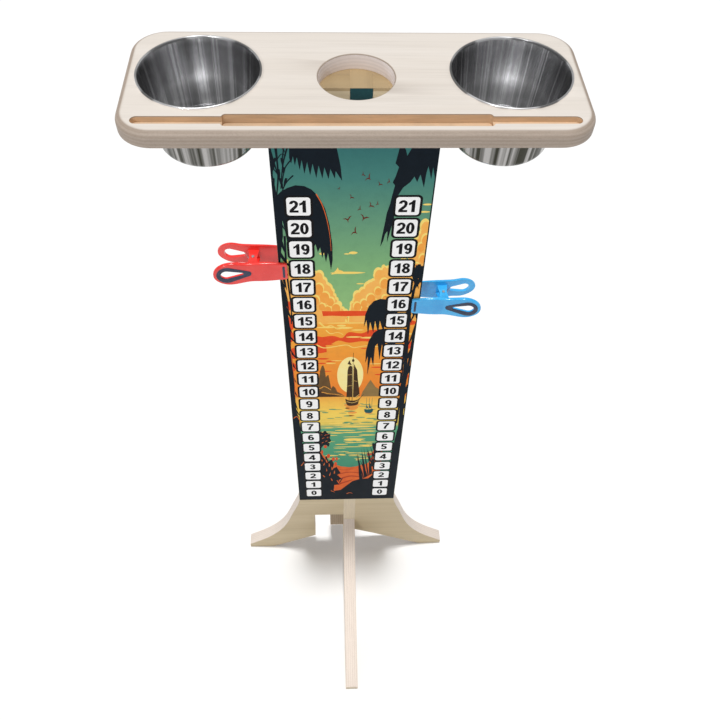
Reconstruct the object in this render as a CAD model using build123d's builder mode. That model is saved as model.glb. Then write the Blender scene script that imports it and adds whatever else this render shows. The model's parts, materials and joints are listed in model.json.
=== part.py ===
from build123d import *
import os
from math import cos, sin, radians

# Scoring tower with a drinks tray for lawn games: a flat-pack plywood stand.
# A tall scoreboard carries the tray, a cross leg slots into it from behind,
# two steel cups drop into the tray, and two spring clips mark the scores.
#
# Frame: +X to the user's right, +Y to the back, +Z up. The origin is on the
# ground, in the middle of the scoreboard's thickness and width.

os.makedirs("parts", exist_ok=True)

# ---------------------------------------------------------------- dimensions
HEIGHT = 915.0            # ground to the tray's top face
BOARD_T = 18.0            # plywood of the scoreboard, cross leg and cleats
BOARD_W = 145.0           # scoreboard width
TRAY_T = 13.5             # tray plywood
TRAY_W = 354.0
TRAY_D = 134.0
TRAY_Y = -16.0            # tray centre, ahead of the board's mid-plane
TRAY_R = 28.0             # plan corner radius
TRAY_TOP_R = 6.0          # round-over of the tray's upper rim
TRAY_LOW_R = 1.5
TRAY_Z = HEIGHT - TRAY_T  # tray underside and the uprights' top

CUP_X = 120.0             # cup centres
CUP_Y = -9.0
CUP_HOLE_R = 46.6
CUP_RIM_R = 48.3
CUP_DEPTH = 61.0
CUP_BASE_R = 40.5
CUP_WALL = 0.8

HOLE_R = 29.5             # through hole in the middle of the tray
HOLE_Y = -13.6
HOLE_EDGE_R = 1.2

GROOVE_Y = -67.5          # stepped holding groove along the front
GROOVE_LONG = 328.0
GROOVE_LONG_W = 8.6
GROOVE_LONG_DEPTH = 5.0
GROOVE_WIDE = 198.0
GROOVE_WIDE_W = 14.0
GROOVE_WIDE_DEPTH = 8.0

FIN_X = 4.5               # cross leg's centre plane
FIN_T = 18.0
FIN_REACH = 245.0         # foot tips, front and back, from the board's mid-plane
SLOT_TOP = 200.0          # top of the board's lower slot
TAB_BOTTOM = 851.0        # bottom of the upper tab and its slot
SPINE_TOP_D = 47.0        # spine depth under the tray
SPINE_MID_D = 36.0

WRAP_T = 0.3              # printed vinyl on the board's face
WRAP_LOW = 175.0
WRAP_HIGH = 870.0

CLEAT_D = 32.0            # tray cleats, front to back
CLEAT_END = 72.5
BLOCK_W = 21.5            # corner block beside the cross leg
BLOCK_D = 22.0
BLOCK_LOW = 43.0
BLOCK_HIGH = 150.0

SCREW_R = 2.2
SCREW_GAP = 0.05
HEAD_R = 4.2

CLIP_PIVOT_X = 98.0       # clip hinge pin, from the tower's centre
CLIP_JAW = 34.0           # pin to jaw tip
CLIP_HANDLE = 39.0        # pin to handle end
CLIP_TIP_HALF = 11.2
CLIP_MID_HALF = 12.7
CLIP_LOBE_HALF = 14.6
CLIP_IN = 11.0            # inner face of each jaw, from the board's mid-plane
CLIP_OUT = 14.2
CLIP_FLARE = 6.0          # degrees the handles lean outwards
PIN_R = 1.5
RUN_GAP = 0.05
RED_Z = 696.0             # score 18 on the left
BLUE_Z = 641.0            # score 16 on the right

half_w = BOARD_W / 2
fin_l = FIN_X - FIN_T / 2
fin_r = FIN_X + FIN_T / 2


def finish(builder, name):
    builder.part.label = name
    export_step(builder.part, "parts/" + name + ".step")


# screw places -------------------------------------------------------------
spine_screw_z = (260.0, 440.0, 620.0, 800.0)
tray_screw_xy = ((-62.0, 25.0), (-17.0, 29.0), (26.0, 29.0), (62.0, 25.0))
cleat_screw_x = (-46.0, -32.0, 38.0, 50.0)
cleat_screw_z = TRAY_Z - 9.0
block_screw_z = (131.0, 142.0)
block_side_z = (66.0, 100.0)

front_face = [Location((FIN_X, -BOARD_T / 2, z), (90, 0, 0)) for z in spine_screw_z]
cleat_under = [Location((x, y, TRAY_Z - BOARD_T), (180, 0, 0)) for x, y in tray_screw_xy]
cleat_back = [Location((x, BOARD_T / 2 + CLEAT_D, cleat_screw_z), (-90, 0, 0)) for x in cleat_screw_x]
block_back = [Location((fin_l - BLOCK_W / 2, BOARD_T / 2 + BLOCK_D, z), (-90, 0, 0)) for z in block_screw_z]
block_side = [Location((fin_l - BLOCK_W, BOARD_T / 2 + BLOCK_D / 2, z), (0, -90, 0)) for z in block_side_z]


def screw_hole(depth):
    CounterSinkHole(radius=SCREW_R + SCREW_GAP, counter_sink_radius=HEAD_R + SCREW_GAP, depth=depth, counter_sink_angle=90)


# ---------------------------------------------------------------- scoreboard
# A tall board whose foot spreads into two side feet. The left side of the
# arch has a square notch; the lower slot and the upper slot take the cross leg.
foot_curve = [(-72.5, 178), (-84, 134), (-98, 88), (-114, 57.5), (-134, 34), (-161.5, 11.5)]
with BuildPart() as score_board:
    with BuildSketch(Plane.XZ.offset(-BOARD_T / 2)):
        with BuildLine():
            Line((fin_l, TRAY_Z), (-half_w, TRAY_Z))
            Line((-half_w, TRAY_Z), foot_curve[0])
            Spline(*foot_curve, tangents=((-0.12, -1.0), (-1.0, -0.78)))
            Polyline(
                foot_curve[-1], (-163.5, 9.0), (-163.5, 0.0), (-123.0, 0.0), (-51.0, 43.0),
                (-51.0, 122.0), (fin_l, 122.0), (fin_l, SLOT_TOP), (fin_r, SLOT_TOP),
                (fin_r, 64.5), (48.6, 45.7), (126.0, 0.0), (163.5, 0.0), (163.5, 9.0), (161.5, 11.5),
            )
            Spline(*[(-x, z) for x, z in reversed(foot_curve)], tangents=((-1.0, 0.78), (-0.12, 1.0)))
            Line((72.5, 178), (half_w, TRAY_Z))
            Polyline(
                (half_w, TRAY_Z), (fin_r, TRAY_Z), (fin_r, TAB_BOTTOM), (fin_l, TAB_BOTTOM), (fin_l, TRAY_Z),
            )
        make_face()
    extrude(amount=BOARD_T)
    with Locations(*front_face):
        screw_hole(BOARD_T)
    with Locations(*[Location((x, BOARD_T / 2, cleat_screw_z), (-90, 0, 0)) for x in cleat_screw_x]):
        Hole(radius=SCREW_R + SCREW_GAP, depth=12)
    with Locations(*[Location((fin_l - BLOCK_W / 2, BOARD_T / 2, z), (-90, 0, 0)) for z in block_screw_z]):
        Hole(radius=SCREW_R + SCREW_GAP, depth=13)
finish(score_board, "score_board")

# ----------------------------------------------------------------- cross leg
# One board on edge: front foot, back foot, the spine behind the scoreboard,
# and the two tabs that come forward through the scoreboard's slots.
with BuildPart() as cross_leg:
    with BuildSketch(Plane.YZ.offset(fin_l)):
        with BuildLine():
            Polyline(
                (-9, TRAY_Z), (-9, TAB_BOTTOM), (9, TAB_BOTTOM), (9, SLOT_TOP), (-9, SLOT_TOP), (-9, 104),
            )
            Spline((-9, 104), (-42, 90), (-72, 75), (-101, 59), (-150, 41.5), (-242, 11.5),
                   tangents=((-1.0, -0.36), (-1.0, -0.32)))
            Polyline((-242, 11.5), (-FIN_REACH, 9), (-FIN_REACH, 0), (-202, 0), (-74, 38))
            Spline((-74, 38), (0, 48), (74, 38), tangents=((1.0, 0.3), (1.0, -0.3)))
            Polyline((74, 38), (202, 0), (FIN_REACH, 0), (FIN_REACH, 9), (242, 11.5))
            Spline((242, 11.5), (150, 41.5), (101, 62), (66, 96), (46, 150), (SPINE_MID_D, 260),
                   tangents=((-1.0, 0.32), (0.0, 1.0)))
            Line((SPINE_MID_D, 260), (SPINE_MID_D, 780))
            Spline((SPINE_MID_D, 780), (41, 822), (SPINE_TOP_D, 862), tangents=((0.0, 1.0), (0.05, 1.0)))
            Polyline((SPINE_TOP_D, 862), (SPINE_TOP_D, TRAY_Z), (-9, TRAY_Z))
        make_face()
    extrude(amount=FIN_T)
    with Locations(*[Location((FIN_X, BOARD_T / 2, z), (90, 0, 0)) for z in spine_screw_z]):
        Hole(radius=SCREW_R + SCREW_GAP, depth=23)
    with Locations(*[Location((fin_l, BOARD_T / 2 + BLOCK_D / 2, z), (0, -90, 0)) for z in block_side_z]):
        Hole(radius=SCREW_R + SCREW_GAP, depth=13)
finish(cross_leg, "cross_leg")

# ------------------------------------------------------------ printed scores
# Thin printed vinyl over the face of the scoreboard, with a tongue that runs
# up the front edge of the cross leg's upper tab.
with BuildPart() as score_wrap:
    with BuildSketch(Plane.XZ.offset(BOARD_T / 2)):
        with BuildLine():
            Polyline(
                (-half_w, WRAP_LOW + 3), (half_w, WRAP_LOW + 3), (half_w, WRAP_HIGH), (fin_r, WRAP_HIGH),
                (fin_r, TRAY_Z - 0.3), (fin_l, TRAY_Z - 0.3), (fin_l, WRAP_HIGH), (-half_w, WRAP_HIGH),
                close=True,
            )
        make_face()
    extrude(amount=WRAP_T)
finish(score_wrap, "score_wrap")

# ---------------------------------------------------------------------- tray
with BuildPart() as tray_top:
    with BuildSketch(Plane.XY.offset(TRAY_Z)):
        with Locations((0, TRAY_Y)):
            RectangleRounded(TRAY_W, TRAY_D, TRAY_R)
    extrude(amount=TRAY_T)
    fillet(tray_top.faces().sort_by(Axis.Z)[-1].edges(), TRAY_TOP_R)
    fillet(tray_top.faces().sort_by(Axis.Z)[0].edges(), TRAY_LOW_R)
    with BuildSketch(Plane.XY.offset(HEIGHT)):
        with Locations((0, HOLE_Y)):
            Circle(HOLE_R)
    extrude(amount=-TRAY_T, mode=Mode.SUBTRACT)
    fillet(tray_top.edges().filter_by(GeomType.CIRCLE).filter_by(lambda e: abs(e.radius - HOLE_R) < 0.01), HOLE_EDGE_R)
    with BuildSketch(Plane.XY.offset(HEIGHT)):
        with Locations((-CUP_X, CUP_Y), (CUP_X, CUP_Y)):
            Circle(CUP_HOLE_R)
    extrude(amount=-TRAY_T, mode=Mode.SUBTRACT)
    with BuildSketch(Plane.XY.offset(HEIGHT)):
        with Locations((0, GROOVE_Y)):
            RectangleRounded(GROOVE_WIDE, GROOVE_WIDE_W, 3.0)
    extrude(amount=-GROOVE_WIDE_DEPTH, mode=Mode.SUBTRACT)
    with BuildSketch(Plane.XY.offset(HEIGHT)):
        with Locations((0, GROOVE_Y)):
            SlotOverall(GROOVE_LONG, GROOVE_LONG_W)
    extrude(amount=-GROOVE_LONG_DEPTH, mode=Mode.SUBTRACT)
    with Locations(*[Location((x, y, TRAY_Z), (180, 0, 0)) for x, y in tray_screw_xy]):
        Hole(radius=SCREW_R + SCREW_GAP, depth=9.8)
finish(tray_top, "tray_top")

# ---------------------------------------------------------------------- cups
# Spun steel cups with a rolled rim that rests on the tray.
RIM_GAP = 0.2


def make_cup(name, x):
    top = HEIGHT + RIM_GAP
    r_in = CUP_RIM_R - 2.6
    with BuildPart() as cup:
        with BuildSketch(Plane.XZ.offset(-CUP_Y)):
            with BuildLine():
                Polyline(
                    (x, HEIGHT - CUP_DEPTH), (x + CUP_BASE_R - 7, HEIGHT - CUP_DEPTH),
                )
                RadiusArc((x + CUP_BASE_R - 7, HEIGHT - CUP_DEPTH), (x + CUP_BASE_R, HEIGHT - CUP_DEPTH + 7), -7)
                Line((x + CUP_BASE_R, HEIGHT - CUP_DEPTH + 7), (x + r_in + CUP_WALL, top))
                Line((x + r_in + CUP_WALL, top), (x + CUP_RIM_R - 0.5, top))
                RadiusArc((x + CUP_RIM_R - 0.5, top), (x + CUP_RIM_R - 1.3, top + 1.6), -0.9)
                RadiusArc((x + CUP_RIM_R - 1.3, top + 1.6), (x + r_in, top + 0.2), -1.9)
                Line((x + r_in, top + 0.2), (x + CUP_BASE_R - CUP_WALL, HEIGHT - CUP_DEPTH + 7))
                RadiusArc((x + CUP_BASE_R - CUP_WALL, HEIGHT - CUP_DEPTH + 7),
                          (x + CUP_BASE_R - 7, HEIGHT - CUP_DEPTH + CUP_WALL), 7 - CUP_WALL)
                Polyline(
                    (x + CUP_BASE_R - 7, HEIGHT - CUP_DEPTH + CUP_WALL), (x, HEIGHT - CUP_DEPTH + CUP_WALL),
                    (x, HEIGHT - CUP_DEPTH),
                )
            make_face()
        revolve(axis=Axis((x, CUP_Y, 0), (0, 0, 1)), revolution_arc=360)
    finish(cup, name)


make_cup("cup_left", -CUP_X)
make_cup("cup_right", CUP_X)

# -------------------------------------------------------- cleats and the block
for cleat_name, x0, x1 in (("tray_cleat_left", -CLEAT_END, fin_l), ("tray_cleat_right", fin_r, CLEAT_END)):
    with BuildPart() as cleat:
        with BuildSketch(Plane.XY.offset(TRAY_Z - BOARD_T)):
            with Locations(((x0 + x1) / 2, BOARD_T / 2 + CLEAT_D / 2)):
                Rectangle(x1 - x0, CLEAT_D)
        extrude(amount=BOARD_T)
        with Locations(*[l for l in cleat_under if x0 < l.position.X < x1]):
            screw_hole(BOARD_T)
        with Locations(*[l for l in cleat_back if x0 < l.position.X < x1]):
            screw_hole(CLEAT_D)
    finish(cleat, cleat_name)

with BuildPart() as corner_block:
    with BuildSketch(Plane.XY.offset(BLOCK_LOW)):
        with Locations((fin_l - BLOCK_W / 2, BOARD_T / 2 + BLOCK_D / 2)):
            Rectangle(BLOCK_W, BLOCK_D)
    extrude(amount=BLOCK_HIGH - BLOCK_LOW)
    with Locations(*block_back):
        screw_hole(BLOCK_D)
    with Locations(*block_side):
        screw_hole(BLOCK_W)
finish(corner_block, "corner_block")

# -------------------------------------------------------------------- screws
# Countersunk wood screws, one node per job, each screw its own solid.
def make_screws(name, places, length):
    with BuildPart() as screws:
        with Locations(*places):
            Cylinder(SCREW_R, length, align=(Align.CENTER, Align.CENTER, Align.MAX))
            Cone(SCREW_R, HEAD_R, HEAD_R - SCREW_R, align=(Align.CENTER, Align.CENTER, Align.MAX))
            Box(4.4, 0.9, 1.4, align=(Align.CENTER, Align.CENTER, Align.MAX), mode=Mode.SUBTRACT)
            Box(0.9, 4.4, 1.4, align=(Align.CENTER, Align.CENTER, Align.MAX), mode=Mode.SUBTRACT)
    finish(screws, name)


make_screws("spine_screws", front_face, 38)
make_screws("tray_screws", cleat_under, 27)
make_screws("cleat_screws", cleat_back, 43)
make_screws("block_screws", block_back + block_side, 34)


# --------------------------------------------------------------------- clips
# Spring clips that grip the scoreboard's side edge. Each is drawn about its
# hinge pin: u runs from the jaw to the handles, v across, w towards the front.
def make_clip(tag, side, z):
    centre = Vector(side * CLIP_PIVOT_X, 0, z)
    face = Plane(origin=centre, x_dir=(side, 0, 0), z_dir=(0, -1, 0))
    edge = Plane(origin=centre, x_dir=(side, 0, 0), z_dir=(0, 0, -side))
    c6, s6 = cos(radians(CLIP_FLARE)), sin(radians(CLIP_FLARE))

    def lean(w_sign):
        # outer face of a handle; its normal points away from the board
        return Plane(
            origin=centre + Vector(0, -w_sign * CLIP_OUT, 0),
            x_dir=(side * c6, -w_sign * s6, 0),
            z_dir=(-side * s6, -w_sign * c6, 0),
        )

    def drop(big_u, big_r, small_u, small_r):
        # the two circles of a teardrop, in its sketch's own coordinates
        return [Edge.make_circle(big_r, Plane((big_u, 0, 0))), Edge.make_circle(small_r, Plane((small_u, 0, 0)))]

    def shell(name, w_sign, lobe, end, ear_in, ear_out, bore, hole, inlay):
        with BuildPart() as body:
            with BuildSketch(face):
                with BuildLine():
                    Line((-CLIP_JAW, 0), (-CLIP_JAW, CLIP_TIP_HALF - 2.2))
                    RadiusArc((-CLIP_JAW, CLIP_TIP_HALF - 2.2), (-CLIP_JAW + 2.2, CLIP_TIP_HALF), 2.2)
                    Spline(
                        (-CLIP_JAW + 2.2, CLIP_TIP_HALF), (-20, 12.2), (-8, CLIP_MID_HALF), (4, CLIP_MID_HALF - 0.2),
                        (14, lobe - 0.7), (end - 16, lobe), (end - 6, lobe * 0.75), (end - 0.8, lobe * 0.32), (end, 0),
                        tangents=((1.0, 0.06), (0.0, -1.0)),
                    )
                    mirror(about=Plane.XZ)
                make_face()
            extrude(amount=w_sign * 24)
            # side profile: flat jaw, handle leaning outwards, eased corners
            s = w_sign
            with BuildSketch(edge):
                with BuildLine():
                    Polyline(
                        (-CLIP_JAW - 1, s * CLIP_IN), (0, s * CLIP_IN),
                        (end + 2, s * (CLIP_IN + (end + 2) * s6 / c6)),
                        (end + 2, s * (CLIP_OUT + (end + 2) * s6 / c6)),
                        (0, s * CLIP_OUT), (-CLIP_JAW - 1, s * (CLIP_OUT - 1.2)),
                        close=True,
                    )
                make_face()
            extrude(amount=20, both=True, mode=Mode.INTERSECT)
            outer = body.faces().filter_by(lambda f: f.geom_type == GeomType.PLANE and f.normal_at().Y * -w_sign > 0.9)
            rim = outer.edges().filter_by(lambda e: abs(e.center().X - side * CLIP_PIVOT_X) > 0.5 or e.length < 20)
            fillet(rim, 1.3)
            # ears that carry the hinge pin
            for v in (1, -1):
                with BuildSketch(edge.offset(v * ear_in)):
                    with BuildLine():
                        Polyline((-5.5, s * (CLIP_IN + 0.6)), (-3.6, 0), (3.6, 0), (5.5, s * (CLIP_IN + 0.6)), close=True)
                    make_face()
                    Circle(3.6)
                extrude(amount=v * (ear_out - ear_in))
            with BuildSketch(edge):
                Circle(bore)
            extrude(amount=20, both=True, mode=Mode.SUBTRACT)
            # finger hole, with a seat for the soft ring on the front shell
            with BuildSketch(lean(w_sign)):
                make_hull(drop(*hole))
            extrude(amount=8, both=True, mode=Mode.SUBTRACT)
            if inlay:
                with BuildSketch(lean(w_sign)):
                    make_hull(drop(*inlay))
                extrude(amount=-1.2, mode=Mode.SUBTRACT)
            # slot that keys the jaw pad
            with BuildSketch(face):
                with Locations((-CLIP_JAW + 3.6, 0)):
                    RectangleRounded(2.4, 16.0, 1.1)
            extrude(amount=w_sign * 20, mode=Mode.SUBTRACT)
        finish(body, name)

    hole = (26.0, 5.8, 11.5, 2.3)
    inlay = (25.4, 10.6, 5.2, 3.6)
    shell(tag + "_clip_front_shell", 1, CLIP_LOBE_HALF, CLIP_HANDLE, 7.0, 8.8, PIN_R + RUN_GAP, hole, inlay)
    shell(tag + "_clip_back_shell", -1, CLIP_LOBE_HALF - 1.6, CLIP_HANDLE - 2.0, 5.0, 6.8, PIN_R, (24.0, 6.2, 12.0, 3.4), None)

    with BuildPart() as ring:
        with BuildSketch(lean(1).offset(-1.2)):
            make_hull(drop(*inlay))
            make_hull(drop(*hole), mode=Mode.SUBTRACT)
        extrude(amount=1.7)
        fillet(ring.faces().filter_by(lambda f: f.normal_at().Y < -0.9).sort_by(Axis.Y)[0].edges(), 0.45)
    finish(ring, tag + "_clip_finger_ring")

    for where, s, face_w in (("front", 1, BOARD_T / 2 + WRAP_T + 0.3), ("back", -1, BOARD_T / 2 + 0.3)):
        with BuildPart() as pad:
            with BuildSketch(face.offset(s * face_w)):
                with Locations((-CLIP_JAW + 4.5, 0)):
                    RectangleRounded(7.0, 20.0, 1.0)
            extrude(amount=s * (CLIP_IN - face_w))
            with BuildSketch(face.offset(s * CLIP_IN)):
                with Locations((-CLIP_JAW + 3.6, 0)):
                    RectangleRounded(2.4, 16.0, 1.1)
            extrude(amount=s * 2.5)
        finish(pad, tag + "_clip_" + where + "_pad")

    with BuildPart() as pin:
        with BuildSketch(Plane.XY.offset(z - 9.8)):
            with Locations((side * CLIP_PIVOT_X, 0)):
                Circle(PIN_R)
        extrude(amount=19.6)
        chamfer(pin.edges().filter_by(GeomType.CIRCLE), 0.3)
    finish(pin, tag + "_clip_pin")

    # torsion spring: a coil round the pin and two legs that push the handles apart
    coil_r, wire_r, pitch, turns = 2.7, 0.45, 1.15, 5
    with BuildPart() as spring:
        with BuildLine() as coil:
            Helix(pitch, pitch * turns, coil_r, center=(CLIP_PIVOT_X, 0, z - pitch * turns / 2), direction=(0, 0, 1))
        with BuildSketch(Plane(origin=coil.line @ 0, z_dir=coil.line % 0)):
            Circle(wire_r)
        sweep(path=coil.line, is_frenet=True)
        for end_pt, w in ((coil.line @ 0, 1), (coil.line @ 1, -1)):
            tip = Vector(CLIP_PIVOT_X + 9.0, -w * (CLIP_IN + 0.15), end_pt.Z)
            run = tip - end_pt
            with BuildSketch(Plane(origin=end_pt - run.normalized() * 0.3, z_dir=run)):
                Circle(wire_r)
            extrude(amount=run.length)
        if side < 0:
            mirror(about=Plane.YZ, mode=Mode.REPLACE)
    finish(spring, tag + "_clip_spring")


make_clip("red", -1, RED_Z)
make_clip("blue", 1, BLUE_Z)
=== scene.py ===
import bpy, bmesh, json, math, random
from mathutils import Matrix, Vector
from mathutils.geometry import delaunay_2d_cdt

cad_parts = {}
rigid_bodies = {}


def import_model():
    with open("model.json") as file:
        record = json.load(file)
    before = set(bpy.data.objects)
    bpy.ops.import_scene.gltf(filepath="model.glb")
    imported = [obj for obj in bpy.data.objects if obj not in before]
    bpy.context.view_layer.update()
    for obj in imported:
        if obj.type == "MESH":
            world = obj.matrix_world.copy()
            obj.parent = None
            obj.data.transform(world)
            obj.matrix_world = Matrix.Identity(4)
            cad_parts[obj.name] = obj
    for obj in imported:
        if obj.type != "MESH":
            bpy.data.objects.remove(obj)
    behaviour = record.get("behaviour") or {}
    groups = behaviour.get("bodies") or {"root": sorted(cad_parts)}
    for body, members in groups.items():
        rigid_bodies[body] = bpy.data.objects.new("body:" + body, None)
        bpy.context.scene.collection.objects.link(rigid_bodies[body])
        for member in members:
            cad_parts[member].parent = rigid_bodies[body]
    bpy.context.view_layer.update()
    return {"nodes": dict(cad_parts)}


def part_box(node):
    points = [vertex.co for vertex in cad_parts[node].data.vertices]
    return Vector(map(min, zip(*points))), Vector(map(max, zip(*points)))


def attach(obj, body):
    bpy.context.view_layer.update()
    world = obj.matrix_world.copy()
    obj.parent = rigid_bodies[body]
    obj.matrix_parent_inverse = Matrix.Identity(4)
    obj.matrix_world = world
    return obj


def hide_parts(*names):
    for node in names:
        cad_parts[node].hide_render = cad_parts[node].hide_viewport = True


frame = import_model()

SC = bpy.context.scene
COL = SC.collection
MM = 0.001


# ============================================================ node helpers
class Mat:
    """A small wrapper that builds a node material in few words."""

    def __init__(self, name):
        self.m = bpy.data.materials.new(name)
        self.m.use_nodes = True
        self.t = self.m.node_tree
        self.t.nodes.clear()
        self.out = self.t.nodes.new("ShaderNodeOutputMaterial")
        self.b = self.t.nodes.new("ShaderNodeBsdfPrincipled")
        self.t.links.new(self.b.outputs[0], self.out.inputs[0])
        self._obj = None

    def n(self, kind, **kw):
        node = self.t.nodes.new("ShaderNode" + kind)
        for k, v in kw.items():
            setattr(node, k, v)
        return node

    def link(self, a, b):
        self.t.links.new(a, b)
        return a

    def set(self, **kw):
        for k, v in kw.items():
            self.b.inputs[k.replace("_", " ")].default_value = v

    def obj(self):
        if self._obj is None:
            self._obj = self.n("TexCoord")
        return self._obj.outputs["Object"]

    def normal(self):
        if self._obj is None:
            self._obj = self.n("TexCoord")
        return self._obj.outputs["Normal"]

    def scaled(self, s, loc=(0, 0, 0), src=None, rot=(0, 0, 0)):
        mp = self.n("Mapping")
        mp.inputs["Scale"].default_value = s
        mp.inputs["Location"].default_value = loc
        mp.inputs["Rotation"].default_value = rot
        self.link(src or self.obj(), mp.inputs["Vector"])
        return mp.outputs[0]

    def noise(self, s=(1, 1, 1), scale=1.0, detail=3.0, rough=0.5, dist=0.0, loc=(0, 0, 0)):
        nz = self.n("TexNoise")
        nz.inputs["Scale"].default_value = scale
        nz.inputs["Detail"].default_value = detail
        nz.inputs["Roughness"].default_value = rough
        nz.inputs["Distortion"].default_value = dist
        self.link(self.scaled(s, loc), nz.inputs["Vector"])
        return nz.outputs["Fac"]

    def ramp(self, fac, stops, interp="LINEAR"):
        r = self.n("ValToRGB")
        cr = r.color_ramp
        cr.interpolation = interp
        while len(cr.elements) < len(stops):
            cr.elements.new(0.5)
        for e, (p, c) in zip(cr.elements, stops):
            e.position = p
            e.color = (c, c, c, 1) if isinstance(c, (int, float)) else tuple(c) + ((1,) if len(c) == 3 else ())
        self.link(fac, r.inputs[0])
        return r.outputs[0]

    def math(self, op, a, b=None, c=None):
        m = self.n("Math", operation=op)
        for i, v in enumerate((a, b, c)):
            if v is None:
                continue
            if isinstance(v, (int, float)):
                m.inputs[i].default_value = v
            else:
                self.link(v, m.inputs[i])
        return m.outputs[0]

    def mix(self, fac, a, b, kind="MIX"):
        m = self.n("Mix", data_type="RGBA", blend_type=kind)
        for sock, v in ((m.inputs[0], fac), (m.inputs[6], a), (m.inputs[7], b)):
            if isinstance(v, (int, float)):
                sock.default_value = v
            elif isinstance(v, (tuple, list)):
                sock.default_value = tuple(v) + ((1,) if len(v) == 3 else ())
            else:
                self.link(v, sock)
        return m.outputs[2]

    def sep(self, v):
        s = self.n("SeparateXYZ")
        self.link(v, s.inputs[0])
        return s.outputs

    def bump(self, height, strength=0.2, distance=0.0005, prev=None):
        b = self.n("Bump")
        b.inputs["Strength"].default_value = strength
        b.inputs["Distance"].default_value = distance
        self.link(height, b.inputs["Height"])
        if prev is not None:
            self.link(prev, b.inputs["Normal"])
        self.link(b.outputs[0], self.b.inputs["Normal"])
        return b.outputs[0]


def lin(r, g, b):
    """An sRGB colour, 0 to 255, as linear values."""
    def f(c):
        c /= 255.0
        return c / 12.92 if c <= 0.04045 else ((c + 0.055) / 1.055) ** 2.4
    return (f(r), f(g), f(b))


# ============================================================ materials
TRAY_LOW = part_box("tray_top")[0].z
TRAY_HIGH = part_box("tray_top")[1].z


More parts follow.
